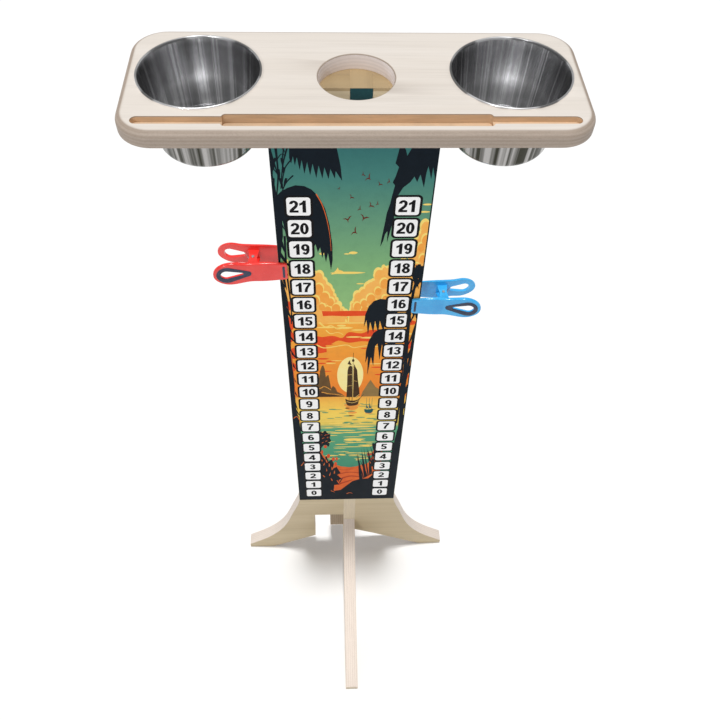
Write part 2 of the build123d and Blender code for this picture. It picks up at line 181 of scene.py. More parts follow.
def plywood(name, axis, origin, thickness, plies, face, face2, edge_a, edge_b, grain_axis, facing=0.90, contrast=1.0, shaded_top=None, groove=None, front_shade=None):
    """Birch ply: long grain on the two faces, stacked plies on every cut edge.
    axis is the ply normal; stripes are counted from origin along it."""
    m = Mat(name)
    ax = "XYZ".index(axis)
    ga = "XYZ".index(grain_axis)
    # face: broad soft figure, fine pores, a few darker lines
    s1 = [26.0, 26.0, 26.0]; s1[ga] = 3.2
    s2 = [520.0, 520.0, 520.0]; s2[ga] = 16.0
    s3 = [120.0, 120.0, 120.0]; s3[ga] = 2.6
    broad = m.noise(s1, 1.0, 4.0, 0.55, 0.9)
    fine = m.noise(s2, 1.0, 2.0, 0.6)
    mid = m.noise(s3, 1.0, 3.0, 0.6, 0.3, loc=(3.1, 1.7, 0.4))
    fcol = m.mix(m.ramp(broad, [(0.36, 0.0), (0.66, 1.0)]), face, face2)
    fcol = m.mix(m.math("MULTIPLY", m.ramp(mid, [(0.52, 0.0), (0.70, 1.0)]), 0.30), fcol, tuple(c * 0.80 for c in face2))
    fcol = m.mix(m.math("MULTIPLY", m.ramp(fine, [(0.50, 0.0), (0.78, 1.0)]), 0.28), fcol, tuple(c * 0.78 for c in face2))
    # edge: plies alternate long grain (light) and end grain (dark, speckled)
    pos = m.math("DIVIDE", m.math("SUBTRACT", m.sep(m.obj())[ax], origin), thickness)
    wob = m.math("MULTIPLY", m.math("SUBTRACT", m.noise((40, 40, 40), 1.0, 2.0), 0.5), 0.05)
    band = m.math("MULTIPLY", m.math("ADD", pos, wob), plies * math.pi)
    alt = m.ramp(m.math("MULTIPLY_ADD", m.math("SINE", band), 0.5, 0.5), [(0.30, 0.0), (0.62, 1.0)])
    glue = m.ramp(m.math("ABSOLUTE", m.math("SINE", band)), [(0.02, 1.0), (0.16, 0.0)])
    s4 = [900.0, 900.0, 900.0]; s4[ax] = 1400.0
    spk = m.noise(s4, 1.0, 2.0, 0.7)
    s5 = [35.0, 35.0, 35.0]; s5[ax] = 500.0
    streak = m.noise(s5, 1.0, 3.0, 0.6, loc=(7, 2, 5))
    ecol = m.mix(m.math("MULTIPLY", alt, contrast), edge_a, edge_b)
    ecol = m.mix(m.math("MULTIPLY", m.ramp(spk, [(0.45, 0.0), (0.75, 1.0)]), 0.35), ecol, tuple(c * 0.55 for c in edge_b))
    ecol = m.mix(m.math("MULTIPLY", m.ramp(streak, [(0.40, 0.0), (0.72, 1.0)]), 0.30), ecol, tuple(min(1, c * 1.15) for c in edge_a))
    ecol = m.mix(m.math("MULTIPLY", glue, 0.35 * contrast), ecol, tuple(c * 0.45 for c in edge_b))
    mask = m.ramp(m.math("ABSOLUTE", m.sep(m.normal())[ax]), [(facing, 0.0), (min(0.999, facing + 0.07), 1.0)])
    col = m.mix(mask, ecol, fcol)
    # painted shade: faces turned to the front get a darker tan than the lit top edges
    if front_shade:
        up = m.ramp(m.math("ABSOLUTE", m.sep(m.normal())[1]), [(0.70, 0.0), (0.97, 1.0)])
        up = m.math("MULTIPLY", up, m.math("LESS_THAN", m.math("ABSOLUTE", m.sep(m.normal())[0]), 0.5))
        tone = m.mix(m.ramp(streak, [(0.40, 0.0), (0.72, 1.0)]), front_shade, tuple(c * 0.88 for c in front_shade))
        col = m.mix(m.math("MULTIPLY", up, 0.85), col, tone)
    if shaded_top:
        # cut tops under the tray: painted shade, a darker tan where the tray shades them; plies hardly show
        z = m.sep(m.obj())[2]
        high = m.ramp(m.math("MULTIPLY", m.math("SUBTRACT", z, shaded_top[0]), 1000.0), [(0.0, 0.0), (0.5, 1.0)])
        shade_tan = m.mix(m.ramp(mid, [(0.40, 0.0), (0.72, 1.0)]), shaded_top[1], tuple(c * 0.82 for c in shaded_top[1]))
        col = m.mix(high, col, shade_tan)
    if groove:
        # routed slots: the warm core shows on their floor and walls
        boxes, z1, warm, hole, pale = groove
        q = m.sep(m.obj())
        inside = None
        for x1, y0, y1 in boxes:
            k = m.math("MULTIPLY", m.math("LESS_THAN", m.math("ABSOLUTE", q[0]), x1), m.math("MULTIPLY", m.math("GREATER_THAN", q[1], y0), m.math("LESS_THAN", q[1], y1)))
            inside = k if inside is None else m.math("MAXIMUM", inside, k)
        inside = m.math("MULTIPLY", inside, m.math("LESS_THAN", q[2], z1))
        inside = m.math("MULTIPLY", inside, m.math("GREATER_THAN", q[2], TRAY_LOW + 0.003))
        w = m.mix(m.ramp(streak, [(0.38, 0.0), (0.70, 1.0)]), warm, tuple(c * 0.80 for c in warm))
        w = m.mix(m.math("MULTIPLY", m.ramp(mid, [(0.5, 0.0), (0.7, 1.0)]), 0.35), w, tuple(c * 0.62 for c in warm))
        col = m.mix(inside, col, w)
        # wall of the middle hole: painted light, paler than the outer edge, lifting the wall out of its shade
        dy = m.math("SUBTRACT", q[1], hole[0])
        rr2 = m.math("ADD", m.math("MULTIPLY", q[0], q[0]), m.math("MULTIPLY", dy, dy))
        lit_wall = m.math("MULTIPLY", m.math("LESS_THAN", rr2, hole[1] ** 2), m.math("LESS_THAN", q[2], TRAY_HIGH - 0.0008))
        lit_wall = m.math("MULTIPLY", lit_wall, m.math("GREATER_THAN", q[2], TRAY_LOW + 0.0002))
        col = m.mix(lit_wall, col, m.mix(m.math("MULTIPLY", alt, 0.35), pale, tuple(c * 0.80 for c in pale)))
    m.link(col, m.b.inputs["Base Color"])
    rough = m.math("MULTIPLY_ADD", fine, 0.18, 0.46)
    m.link(rough, m.b.inputs["Roughness"])
    h = m.math("ADD", m.math("MULTIPLY", fine, 0.6), m.math("MULTIPLY", glue, -0.5))
    m.bump(h, 0.22, 0.0002)
    m.set(Specular_IOR_Level=0.35)
    return m.m


def steel(name, cx=0.0, cy=0.0, painted_reflections=True, base=(0.72, 0.72, 0.73)):
    """Polished, finely brushed stainless. The brushing runs round the cup; broad bands of painted reflection run down
    its wall."""
    m = Mat(name)
    if painted_reflections:
        p = m.sep(m.scaled((1, 1, 1), (-cx, -cy, 0)))
        ang = m.math("ARCTAN2", p[1], p[0])
        comb = m.n("CombineXYZ")
        m.link(m.math("COSINE", ang), comb.inputs[0])
        m.link(m.math("SINE", ang), comb.inputs[1])
        m.link(m.math("MULTIPLY", p[2], 0.10), comb.inputs[2])
        def ring(scale, detail, rough, seed):
            nz = m.n("TexNoise")
            nz.inputs["Scale"].default_value = scale
            nz.inputs["Detail"].default_value = detail
            nz.inputs["Roughness"].default_value = rough
            mp = m.n("Mapping")
            mp.inputs["Location"].default_value = (seed, seed * 0.7, seed * 1.3)
            m.link(comb.outputs[0], mp.inputs["Vector"])
            m.link(mp.outputs[0], nz.inputs["Vector"])
            return nz.outputs["Fac"]
        # painted reflections: broad bands, thin bands and bright lines by angle round the cup
        broad = m.ramp(ring(2.7, 1.0, 0.5, cx * 31), [(0.36, 0.22), (0.44, 0.40), (0.485, 0.95), (0.52, 0.55), (0.57, 1.05), (0.63, 0.45)])
        thin = m.ramp(ring(15.0, 2.0, 0.60, 4.0 + cx * 17), [(0.38, 0.70), (0.50, 0.90), (0.58, 1.05)])
        line = m.ramp(ring(21.0, 1.0, 0.50, 2.0 + cx * 23), [(0.615, 0.0), (0.655, 1.0)])
        tone = m.math("MULTIPLY", broad, thin)
        tone = m.math("ADD", tone, m.math("MULTIPLY", line, 0.85))
        wear = m.noise((520, 520, 160), 1.0, 3.0, 0.7)
        tone = m.math("MULTIPLY", tone, m.math("MULTIPLY_ADD", m.ramp(wear, [(0.42, 0.0), (0.72, 1.0)]), 0.28, 0.88))
        nn = m.sep(m.normal())
        high = m.sep(m.obj())[2]
        # polished roll at the rim: dark and bright reflections follow each other
        rim = m.ramp(m.math("MULTIPLY", m.math("SUBTRACT", high, TRAY_HIGH), 1000.0), [(0.1, 0.0), (0.4, 1.0)])
        spots = m.ramp(ring(1.9, 1.0, 0.5, 9.0 + cx * 11), [(0.44, 0.06), (0.48, 0.55), (0.55, 1.0)])
        tone = m.mix(rim, tone, spots)
        col = m.mix(tone, tuple(c * 0.36 for c in base), tuple(min(1, c * 1.37) for c in base))
        # painted reflection: the flat floor of the cup is darkened
        foot = m.ramp(m.math("ABSOLUTE", nn[2]), [(0.6, 0.0), (0.95, 1.0)])
        col = m.mix(m.math("MULTIPLY", foot, 0.5), col, (0.16, 0.16, 0.155))
        # the outside is painted darker: painted shade and a streaked painted reflection of the ground
        out = m.math("ADD", m.math("MULTIPLY", nn[0], m.math("COSINE", ang)), m.math("MULTIPLY", nn[1], m.math("SINE", ang)))
        outside = m.math("MULTIPLY", m.math("GREATER_THAN", out, 0.25), m.math("LESS_THAN", high, TRAY_HIGH - 0.001))
        ground_reflection = m.mix(m.ramp(ring(7.0, 2.0, 0.6, 5.0 + cx * 13), [(0.40, 0.0), (0.52, 0.5), (0.60, 1.0)]), (0.045, 0.045, 0.035), (0.42, 0.41, 0.40))
        col = m.mix(outside, col, ground_reflection)
        m.link(col, m.b.inputs["Base Color"])
        fine = m.noise((900, 900, 30), 1.0, 2.0, 0.6)
        m.link(m.math("MULTIPLY_ADD", foot, 0.22, m.math("MULTIPLY_ADD", fine, 0.10, 0.16)), m.b.inputs["Roughness"])
        m.bump(fine, 0.03, 0.0001)
    else:
        fine = m.noise((900, 900, 900), 1.0, 3.0, 0.6)
        col = m.mix(m.ramp(fine, [(0.4, 0.0), (0.7, 1.0)]), tuple(c * 0.8 for c in base), base)
        m.link(col, m.b.inputs["Base Color"])
        m.link(m.math("MULTIPLY_ADD", fine, 0.2, 0.22), m.b.inputs["Roughness"])
        m.bump(fine, 0.08, 0.0001)
    m.set(Metallic=1.0)
    return m.m


def plastic(name, col, deep):
    """Glossy moulded plastic: faint flow marks, fine scuffs, wear on the edges."""
    m = Mat(name)
    flow = m.noise((60, 60, 60), 1.0, 3.0, 0.5, 0.6)
    fine = m.noise((1500, 1500, 1500), 1.0, 2.0, 0.6)
    c = m.mix(m.ramp(flow, [(0.35, 0.0), (0.7, 1.0)]), col, deep)
    geo = m.n("NewGeometry")
    edge = m.ramp(geo.outputs["Pointiness"], [(0.50, 0.0), (0.60, 1.0)])
    c = m.mix(m.math("MULTIPLY", edge, 0.25), c, tuple(min(1, v * 1.25 + 0.05) for v in col))
    m.link(c, m.b.inputs["Base Color"])
    scuff = m.ramp(m.noise((400, 900, 300), 1.0, 4.0, 0.65, 0.8), [(0.55, 0.0), (0.8, 1.0)])
    m.link(m.math("MULTIPLY_ADD", scuff, 0.14, 0.20), m.b.inputs["Roughness"])
    m.bump(fine, 0.04, 0.0001)
    m.set(Specular_IOR_Level=0.5, Coat_Weight=0.35, Coat_Roughness=0.12)
    return m.m


def rubber(name, col):
    m = Mat(name)
    grain = m.noise((2200, 2200, 2200), 1.0, 2.0, 0.6)
    dust = m.noise((150, 150, 150), 1.0, 3.0, 0.6)
    c = m.mix(m.ramp(dust, [(0.4, 0.0), (0.75, 1.0)]), col, tuple(min(1, v * 1.5 + 0.01) for v in col))
    m.link(c, m.b.inputs["Base Color"])
    m.link(m.math("MULTIPLY_ADD", grain, 0.2, 0.48), m.b.inputs["Roughness"])
    m.bump(grain, 0.18, 0.0001)
    m.set(Specular_IOR_Level=0.4, Sheen_Weight=0.15, Sheen_Roughness=0.4)
    return m.m


# painted shade: the tan of ply tops that lie in the shade under the tray
SHADE_TAN = (0.40, 0.29, 0.155)
# tray: the last, pale colour in the groove settings is painted light on the middle hole's wall
M_TRAY = plywood("tray_birch", "Z", TRAY_LOW, TRAY_HIGH - TRAY_LOW, 9, (0.725, 0.670, 0.612), (0.687, 0.627, 0.563), (0.42, 0.345, 0.285), (0.34, 0.27, 0.215), "X", 0.93, 0.7,
                 groove=(((0.100, -0.0750, -0.0600), (0.1645, -0.0721, -0.0629)), TRAY_HIGH - 0.0006, (0.74, 0.53, 0.345), (-0.0136, 0.0315), (0.90, 0.82, 0.80)))
# board and leg: their tops under the tray get a painted shade tan
M_BOARD = plywood("board_birch", "Y", -0.009, 0.018, 11, (0.60, 0.495, 0.325), (0.54, 0.435, 0.275), (0.78, 0.69, 0.61), (0.70, 0.60, 0.52), "X", 0.90, 0.7, shaded_top=(0.8985, SHADE_TAN))
# leg: its front-facing edges get a painted shade tan
M_LEG = plywood("leg_birch", "X", -0.0045, 0.018, 11, (0.60, 0.495, 0.325), (0.54, 0.435, 0.275), (0.80, 0.70, 0.615), (0.70, 0.59, 0.51), "Y", 0.90, 0.7, shaded_top=(0.8985, SHADE_TAN), front_shade=(0.66, 0.55, 0.38))
# cleats under the tray: face and edge colours are painted shade, darker copies of the birch ply
M_CLEAT = plywood("cleat_birch", "Z", TRAY_LOW - 0.018, 0.018, 11, SHADE_TAN, (0.35, 0.25, 0.135), (0.50, 0.40, 0.28), (0.42, 0.32, 0.22), "X")
# corner block: darker brown copy of the birch ply, its face and edge colours painted shade
M_BLOCK = plywood("block_birch", "X", -0.026, 0.0215, 13, (0.44, 0.345, 0.225), (0.38, 0.29, 0.18), (0.44, 0.35, 0.25), (0.34, 0.26, 0.18), "Z", 0.90, 0.7)
M_SCREW = steel("zinc_screw", painted_reflections=False, base=(0.62, 0.61, 0.56))
M_SPRING = steel("spring_wire", painted_reflections=False, base=(0.72, 0.72, 0.74))
M_RED = plastic("coral_plastic", lin(238, 52, 44), lin(224, 34, 30))
M_BLUE = plastic("sky_plastic", lin(58, 178, 238), lin(36, 158, 226))
M_RUBBER = rubber("slate_rubber", lin(44, 52, 74))


# ============================================================ mesh helpers
def new_object(name, bm, mat, body, smooth_angle=None):
    me = bpy.data.meshes.new(name)
    bm.to_mesh(me)
    bm.free()
    ob = bpy.data.objects.new(name, me)
    COL.objects.link(ob)
    if mat is not None:
        me.materials.append(mat)
    if smooth_angle is not None:
        me.polygons.foreach_set("use_smooth", [True] * len(me.polygons))
        sharpen(me, smooth_angle)
    if body:
        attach(ob, body)
    return ob


def sharpen(me, angle):
    """Marks edges sharper than the angle, so smooth shading stops there."""
    bm = bmesh.new()
    bm.from_mesh(me)
    for e in bm.edges:
        e.smooth = not (len(e.link_faces) == 2 and e.calc_face_angle(0) > angle)
    bm.to_mesh(me)
    bm.free()


def refine(node, mat, body, slot, bevel=0.0, segments=2, angle=30, name=None):
    """The CAD piece with merged facets, eased edges and smooth shading."""
    src = frame["nodes"][node]
    bm = bmesh.new()
    bm.from_mesh(src.data)
    bmesh.ops.remove_doubles(bm, verts=bm.verts, dist=1e-6)
    bmesh.ops.dissolve_limit(bm, angle_limit=math.radians(0.6), verts=bm.verts, edges=bm.edges)
    if bevel > 0:
        sharp = [e for e in bm.edges if len(e.link_faces) == 2 and e.calc_face_angle(0) > math.radians(angle)]
        bmesh.ops.bevel(bm, geom=sharp, offset=bevel, offset_type="OFFSET", segments=segments, profile=0.5, affect="EDGES", clamp_overlap=True)
    bmesh.ops.triangulate(bm, faces=[f for f in bm.faces if len(f.verts) > 4])
    bmesh.ops.recalc_face_normals(bm, faces=bm.faces)
    ob = new_object(name or node + "_v", bm, mat, body, math.radians(angle))
    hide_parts(node)
    return ob


# ============================================================ plywood pieces
refine("tray_top", M_TRAY, "tower", "tray_plywood", 0.0, 2, 28, "tray")
refine("score_board", M_BOARD, "tower", "birch_plywood", 0.0006, 2, 30, "board")
refine("cross_leg", M_LEG, "tower", "birch_plywood", 0.0006, 2, 30, "leg")
refine("tray_cleat_left", M_CLEAT, "tower", "birch_plywood", 0.0005, 1, 30, "cleat_l")
refine("tray_cleat_right", M_CLEAT, "tower", "birch_plywood", 0.0005, 1, 30, "cleat_r")
refine("corner_block", M_BLOCK, "tower", "birch_plywood", 0.0005, 1, 30, "block")
for s in ("spine_screws", "tray_screws", "cleat_screws", "block_screws"):
    refine(s, M_SCREW, "tower", "screw_steel", 0.0, 1, 35, s + "_v")


# ============================================================ cups
def cup(side, body, node, mat):
    lo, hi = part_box(node)
    cx, cy = (lo.x + hi.x) / 2, (lo.y + hi.y) / 2
    z0, top = lo.z, hi.z
    R = (hi.x - lo.x) / 2
    H = TRAY_HIGH
    prof = []
    base_r = 0.0405
    # outside, from the foot's centre up to the rim
    prof += [(0.0, z0 + 0.0006), (0.020, z0 + 0.0006), (0.0305, z0 + 0.0004), (0.0335, z0)]
    for i in range(1, 9):
        a = math.radians(i * 90 / 8)
        prof.append((0.0335 + 0.007 * math.sin(a), z0 + 0.007 * (1 - math.cos(a))))
    wall_top = R - 0.0018
    for i in range(1, 10):
        t = i / 10
        prof.append((base_r + (wall_top - base_r) * t, z0 + 0.007 + (H + 0.0002 - z0 - 0.007) * t))
    prof.append((wall_top + 0.0001, H + 0.0002))
    # rolled rim
    rc, zc, rr = R - 0.00105, H + 0.0012, 0.00095
    for i in range(0, 11):
        a = math.radians(-80 + i * 26)
        prof.append((rc + rr * math.cos(a), zc + rr * math.sin(a)))
    in_top = R - 0.0026
    prof.append((in_top, H - 0.0006))
    # inside, down to the floor
    for i in range(1, 10):
        t = i / 10
        prof.append((in_top + (base_r - 0.0008 - in_top) * t, H - 0.0006 + (z0 + 0.0078 - H + 0.0006) * t))
    for i in range(0, 9):
        a = math.radians(90 - i * 90 / 8)
        prof.append((0.0335 + 0.0062 * math.sin(a), z0 + 0.0008 + 0.0062 * (1 - math.cos(a))))
    prof += [(0.030, z0 + 0.0011), (0.0270, z0 + 0.0017), (0.015, z0 + 0.0017), (0.0, z0 + 0.0017)]
    bm = bmesh.new()
    N = 128
    rings = []
    for r, z in prof:
        if r < 1e-6:
            rings.append([bm.verts.new((cx, cy, z))])
        else:
            rings.append([bm.verts.new((cx + r * math.cos(2 * math.pi * k / N), cy + r * math.sin(2 * math.pi * k / N), z)) for k in range(N)])
    for a, b in zip(rings[:-1], rings[1:]):
        for k in range(N):
            k2 = (k + 1) % N
            if len(a) == 1:
                bm.faces.new((a[0], b[k2], b[k]))
            elif len(b) == 1:
                bm.faces.new((a[k], a[k2], b[0]))
            else:
                bm.faces.new((a[k], a[k2], b[k2], b[k]))
    bmesh.ops.recalc_face_normals(bm, faces=bm.faces)
    ob = new_object("cup_" + side, bm, mat, body, math.radians(60))
    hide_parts(node)
    return ob


cup("l", "left_cup", "cup_left", steel("cup_steel_l", -0.120, -0.009))
cup("r", "right_cup", "cup_right", steel("cup_steel_r", 0.120, -0.009))


# ============================================================ clips
for c, mat, sl in (("red", M_RED, "red_plastic"), ("blue", M_BLUE, "blue_plastic")):
    refine(c + "_clip_front_shell", mat, c + "_clip_jaw", sl, 0.0, 2, 32, c + "_front")
    refine(c + "_clip_back_shell", mat, c + "_clip", sl, 0.0, 2, 32, c + "_back")
    refine(c + "_clip_finger_ring", M_RUBBER, c + "_clip_jaw", "clip_rubber", 0.0, 2, 40, c + "_ring")
    refine(c + "_clip_front_pad", M_RUBBER, c + "_clip_jaw", "clip_rubber", 0.0003, 2, 30, c + "_pad_f")
    refine(c + "_clip_back_pad", M_RUBBER, c + "_clip", "clip_rubber", 0.0003, 2, 30, c + "_pad_b")
    refine(c + "_clip_pin", M_SPRING, c + "_clip", "screw_steel", 0.0, 2, 40, c + "_pin")
    refine(c + "_clip_spring", M_SPRING, c + "_clip", "screw_steel", 0.0, 2, 50, c + "_spring")

# ============================================================ printed face
# An own, generic evening-at-sea picture, laid down as thin colour layers.
RNG = random.Random(7)
FACE_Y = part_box("score_wrap")[1].y          # back of the vinyl
WRAP_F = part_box("score_wrap")[0].y          # front of the vinyl
XL, XR, ZL, ZH = -0.0725, 0.0725, 0.178, 0.870
STEP = 0.00001
ROW0, PITCH_Z = 201.6, 27.5


def vinyl(name, col, col2=None, ramp=None):
    """Printed vinyl under a satin laminate: soft ink mottle and orange peel."""
    m = Mat(name)
    col2 = col2 or tuple(c * 0.88 for c in col)
    mott = m.noise((90, 90, 90), 1.0, 4.0, 0.6)
    if ramp:
        z = m.sep(m.obj())[2]
        t = m.math("DIVIDE", m.math("SUBTRACT", z, ramp[0]), ramp[1] - ramp[0])
        base = m.ramp(t, ramp[2])
        c = m.mix(m.math("MULTIPLY", m.ramp(mott, [(0.45, 0.0), (0.75, 1.0)]), 0.10), base, (0.02, 0.05, 0.06))
    else:
        c = m.mix(m.ramp(mott, [(0.35, 0.0), (0.75, 1.0)]), col, col2)
    m.link(c, m.b.inputs["Base Color"])
    peel = m.noise((1200, 1200, 1200), 1.0, 2.0, 0.5)
    m.link(m.math("MULTIPLY_ADD", m.noise((60, 60, 25), 1.0, 3.0, 0.6), 0.14, 0.46), m.b.inputs["Roughness"])
    m.bump(peel, 0.05, 0.00008)
    m.set(Specular_IOR_Level=0.08)
    return m.m


def clip_poly(pts):
    """Keeps a polygon inside the vinyl's edges."""
    def cut(ps, inside, cross):
        out = []
        for i, p in enumerate(ps):
            q = ps[(i + 1) % len(ps)]
            if inside(p):
                out.append(p)
                if not inside(q):
                    out.append(cross(p, q))
            elif inside(q):
                out.append(cross(p, q))
        return out
    e = 0.05
    for k, lim, sg in ((0, -72.5 + e, 1), (0, 72.5 - e, -1), (1, 178 + e, 1), (1, 870 - e, -1)):
        def cross(p, q, k=k, lim=lim):
            t = (lim - p[k]) / (q[k] - p[k])
            r = [p[0] + (q[0] - p[0]) * t, p[1] + (q[1] - p[1]) * t]
            r[k] = lim
            return tuple(r)
        pts = cut(pts, lambda p, k=k, lim=lim, sg=sg: sg * (p[k] - lim) >= 0, cross)
        if len(pts) < 3:
            return []
    return pts


def clean(pts):
    out = []
    for p in pts:
        if not out or (abs(p[0] - out[-1][0]) + abs(p[1] - out[-1][1])) > 0.02:
            out.append(p)
    while len(out) > 2 and (abs(out[0][0] - out[-1][0]) + abs(out[0][1] - out[-1][1])) <= 0.02:
        out.pop()
    return out


def prisms(name, polys, layer, mat, clipped=True):
    """A set of flat shapes (x, z in mm), merged into one outline and made a
    thin closed slab on the vinyl."""
    coords, faces = [], []
    for pts in polys:
        if clipped:
            pts = clip_poly(pts)
        pts = clean(pts)
        if len(pts) < 3:
            continue
        area2 = sum(a[0] * b[1] - b[0] * a[1] for a, b in zip(pts, pts[1:] + pts[:1]))
        if abs(area2) < 0.05:
            continue
        if area2 < 0:
            pts = pts[::-1]
        faces.append(list(range(len(coords), len(coords) + len(pts))))
        coords += [Vector(q) for q in pts]
    vs, _, tris, _, _, owner = delaunay_2d_cdt(coords, [], faces, 1, 1e-3, True)
    tris = [t for t, o in zip(tris, owner) if o]
    fy = WRAP_F - STEP * layer
    back = WRAP_F + 0.00002
    bm = bmesh.new()
    used = sorted({i for t in tris for i in t})
    front = {i: bm.verts.new((vs[i][0] * MM, fy, vs[i][1] * MM)) for i in used}
    rear = {i: bm.verts.new((vs[i][0] * MM, back, vs[i][1] * MM)) for i in used}
    once = {}
    for t in tris:
        q = list(t)
        twice = sum(vs[q[k]][0] * vs[q[(k + 1) % len(q)]][1] - vs[q[(k + 1) % len(q)]][0] * vs[q[k]][1] for k in range(len(q)))
        if twice < 0:
            q.reverse()
        bm.faces.new([front[i] for i in q])
        bm.faces.new([rear[i] for i in reversed(q)])
        for k in range(len(q)):
            e = (q[k], q[(k + 1) % len(q)])
            if (e[1], e[0]) in once:
                del once[(e[1], e[0])]
            else:
                once[e] = True
    for i, j in once:
        bm.faces.new((front[j], front[i], rear[i], rear[j]))
    bm.normal_update()
    ob = new_object(name, bm, mat, "tower")
    return ob


def smooth(pts, n=8, closed=False):
    """Catmull-Rom through the points."""
    P = list(pts)
    if closed:
        P = [P[-1]] + P + [P[0], P[1]]
    else:
        P = [P[0]] + P + [P[-1]]
    out = []
    for a, b, c, d in zip(P, P[1:], P[2:], P[3:]):
        for k in range(n):
            t = k / n
            out.append(tuple(0.5 * ((2 * b[j]) + (c[j] - a[j]) * t + (2 * a[j] - 5 * b[j] + 4 * c[j] - d[j]) * t * t
                                    + (3 * b[j] - a[j] - 3 * c[j] + d[j]) * t ** 3) for j in (0, 1)))
    if not closed:
        out.append(P[-2])
    return out


def ellipse(cx, cz, rx, rz, n=28, a0=0.0, a1=2 * math.pi):
    return [(cx + rx * math.cos(a0 + (a1 - a0) * k / n), cz + rz * math.sin(a0 + (a1 - a0) * k / n)) for k in range(n if a1 - a0 > 6.28 else n + 1)]


def ribbon(pts, w0, w1=None, n=6):
    """A band along a curve, tapering from w0 to w1."""
    w1 = w0 if w1 is None else w1
    s = smooth(pts, n)
    L, R = [], []
    for i, p in enumerate(s):
        a = s[max(0, i - 1)]; b = s[min(len(s) - 1, i + 1)]
        dx, dz = b[0] - a[0], b[1] - a[1]
        h = math.hypot(dx, dz) or 1
        w = (w0 + (w1 - w0) * i / (len(s) - 1)) / 2
        L.append((p[0] - dz / h * w, p[1] + dx / h * w))
        R.append((p[0] + dz / h * w, p[1] - dx / h * w))
    return L + R[::-1]


def blade(x, z, dx, dz, w, curl=0.0):
    """One leaf: broad at its root, drawn out to a fine curved tip."""
    h = math.hypot(dx, dz) or 1
    nx, nz = -dz / h, dx / h
    left, right = [], []
    for k, ww in ((0.0, 0.42), (0.25, 0.50), (0.5, 0.42), (0.75, 0.24), (0.9, 0.10)):
        c = curl * k * k * h
        px, pz = x + dx * k + nx * c, z + dz * k + nz * c
        left.append((px + nx * w * ww, pz + nz * w * ww))
        right.append((px - nx * w * ww, pz - nz * w * ww))
    tip = (x + dx + nx * curl * h, z + dz + nz * curl * h)
    return left + [tip] + right[::-1]


def frond(spine, count, length, w, side=0.0, seed=0, taper=0.35, curl=0.1):
    """A palm frond: leaves hang from a curved midrib."""
    r = random.Random(seed)
    s = smooth(spine, 10)
    out = [ribbon(spine, 2.6, 0.8)]
    for i in range(count):
        t = i / (count - 1)
        p = s[min(len(s) - 1, int(t * (len(s) - 1)))]
        q = s[min(len(s) - 1, int(t * (len(s) - 1)) + 1)]
        tx, tz = q[0] - p[0], q[1] - p[1]
        h = math.hypot(tx, tz) or 1
        ln = length * (taper + (1 - taper) * math.sin(math.pi * min(1, t * 0.85 + 0.12))) * r.uniform(0.72, 1.12)
        dx = side * ln + 0.25 * ln * tx / h + r.uniform(-0.05, 0.05) * ln
        dz = -ln * (0.92 + 0.10 * (tz / h < 0))
        out.append(blade(p[0], p[1] + 2, dx, dz, w * r.uniform(0.8, 1.25), curl * r.uniform(0.4, 1.4)))
    return out


navy = lin(12, 24, 34)
sky_ramp = [(0.0, lin(152, 196, 128)), (0.12, lin(150, 194, 128)), (0.34, lin(132, 182, 124)), (0.55, lin(104, 156, 124)), (0.74, lin(70, 130, 122)), (0.88, lin(50, 108, 108)), (1.0, lin(30, 68, 72))]
wrap_outline = [(-72.5, 178), (72.5, 178), (72.5, 870), (13.5, 870), (13.5, 901.2), (-4.5, 901.2), (-4.5, 870), (-72.5, 870)]
bm = bmesh.new()
f = [bm.verts.new((x * MM, WRAP_F, z * MM)) for x, z in wrap_outline]
b = [bm.verts.new((x * MM, FACE_Y, z * MM)) for x, z in wrap_outline]
bm.faces.new(f); bm.faces.new(b[::-1])
for k in range(len(f)):
    k2 = (k + 1) % len(f)
    bm.faces.new((f[k2], f[k], b[k], b[k2]))
bm.normal_update()
bmesh.ops.triangulate(bm, faces=[q for q in bm.faces if len(q.verts) > 4])
bmesh.ops.recalc_face_normals(bm, faces=bm.faces)
sheet = new_object("print_sky", bm, vinyl("ink_sky", (0, 0, 0), ramp=(0.600, 0.885, sky_ramp)), "tower")
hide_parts("score_wrap")

# orange evening sky below the clouds
dusk = [(-72.5, 440), (72.5, 440), (72.5, 735), (64, 720), (58, 690), (40, 672), (22, 640), (10, 622), (3, 612), (-6, 622), (-18, 640), (-30, 668), (-44, 660), (-60, 668), (-72.5, 690)]
dusk_ramp = [(0.0, lin(243, 128, 44)), (0.2, lin(246, 146, 50)), (0.55, lin(251, 170, 62)), (1.0, lin(252, 182, 84))]
prisms("print_dusk", [dusk], 1, vinyl("ink_dusk", (0, 0, 0), ramp=(0.46, 0.70, dusk_ramp)))

# cumulus: pale yellow crowns, orange bodies
cloud_l = [(-60, 612), (-72.4, 690), (-66, 712), (-62, 700), (-58, 690), (-50, 684), (-41, 681.6), (-38.2, 683.6), (-36, 689.6), (-33.4, 687), (-31.3, 689.6), (-28.7, 683.6), (-27.4, 675.6), (-25.1, 671.6), (-23, 667.5), (-20.3, 667.5), (-19.2, 657.8), (-16.5, 654.5), (-15, 645.9), (-12.2, 640.5), (-7.8, 632), (-5.6, 625.6), (-4, 612)]
cloud_r = [(-3.5, 612), (-2.5, 628), (-0.9, 641), (3.3, 645.9), (4.6, 654.5), (7.6, 659.9), (10.6, 664.2), (13.8, 661), (16, 669.6), (18, 672.6), (21.3, 674.6), (22.7, 683.6), (25.1, 689.6), (27.4, 692.6), (29.8, 698.5), (34, 700), (44, 704), (58, 710), (60.5, 718), (62, 728), (63.4, 738), (65, 748), (66.7, 756.2), (69, 757.9), (72.4, 748), (72.4, 612)]


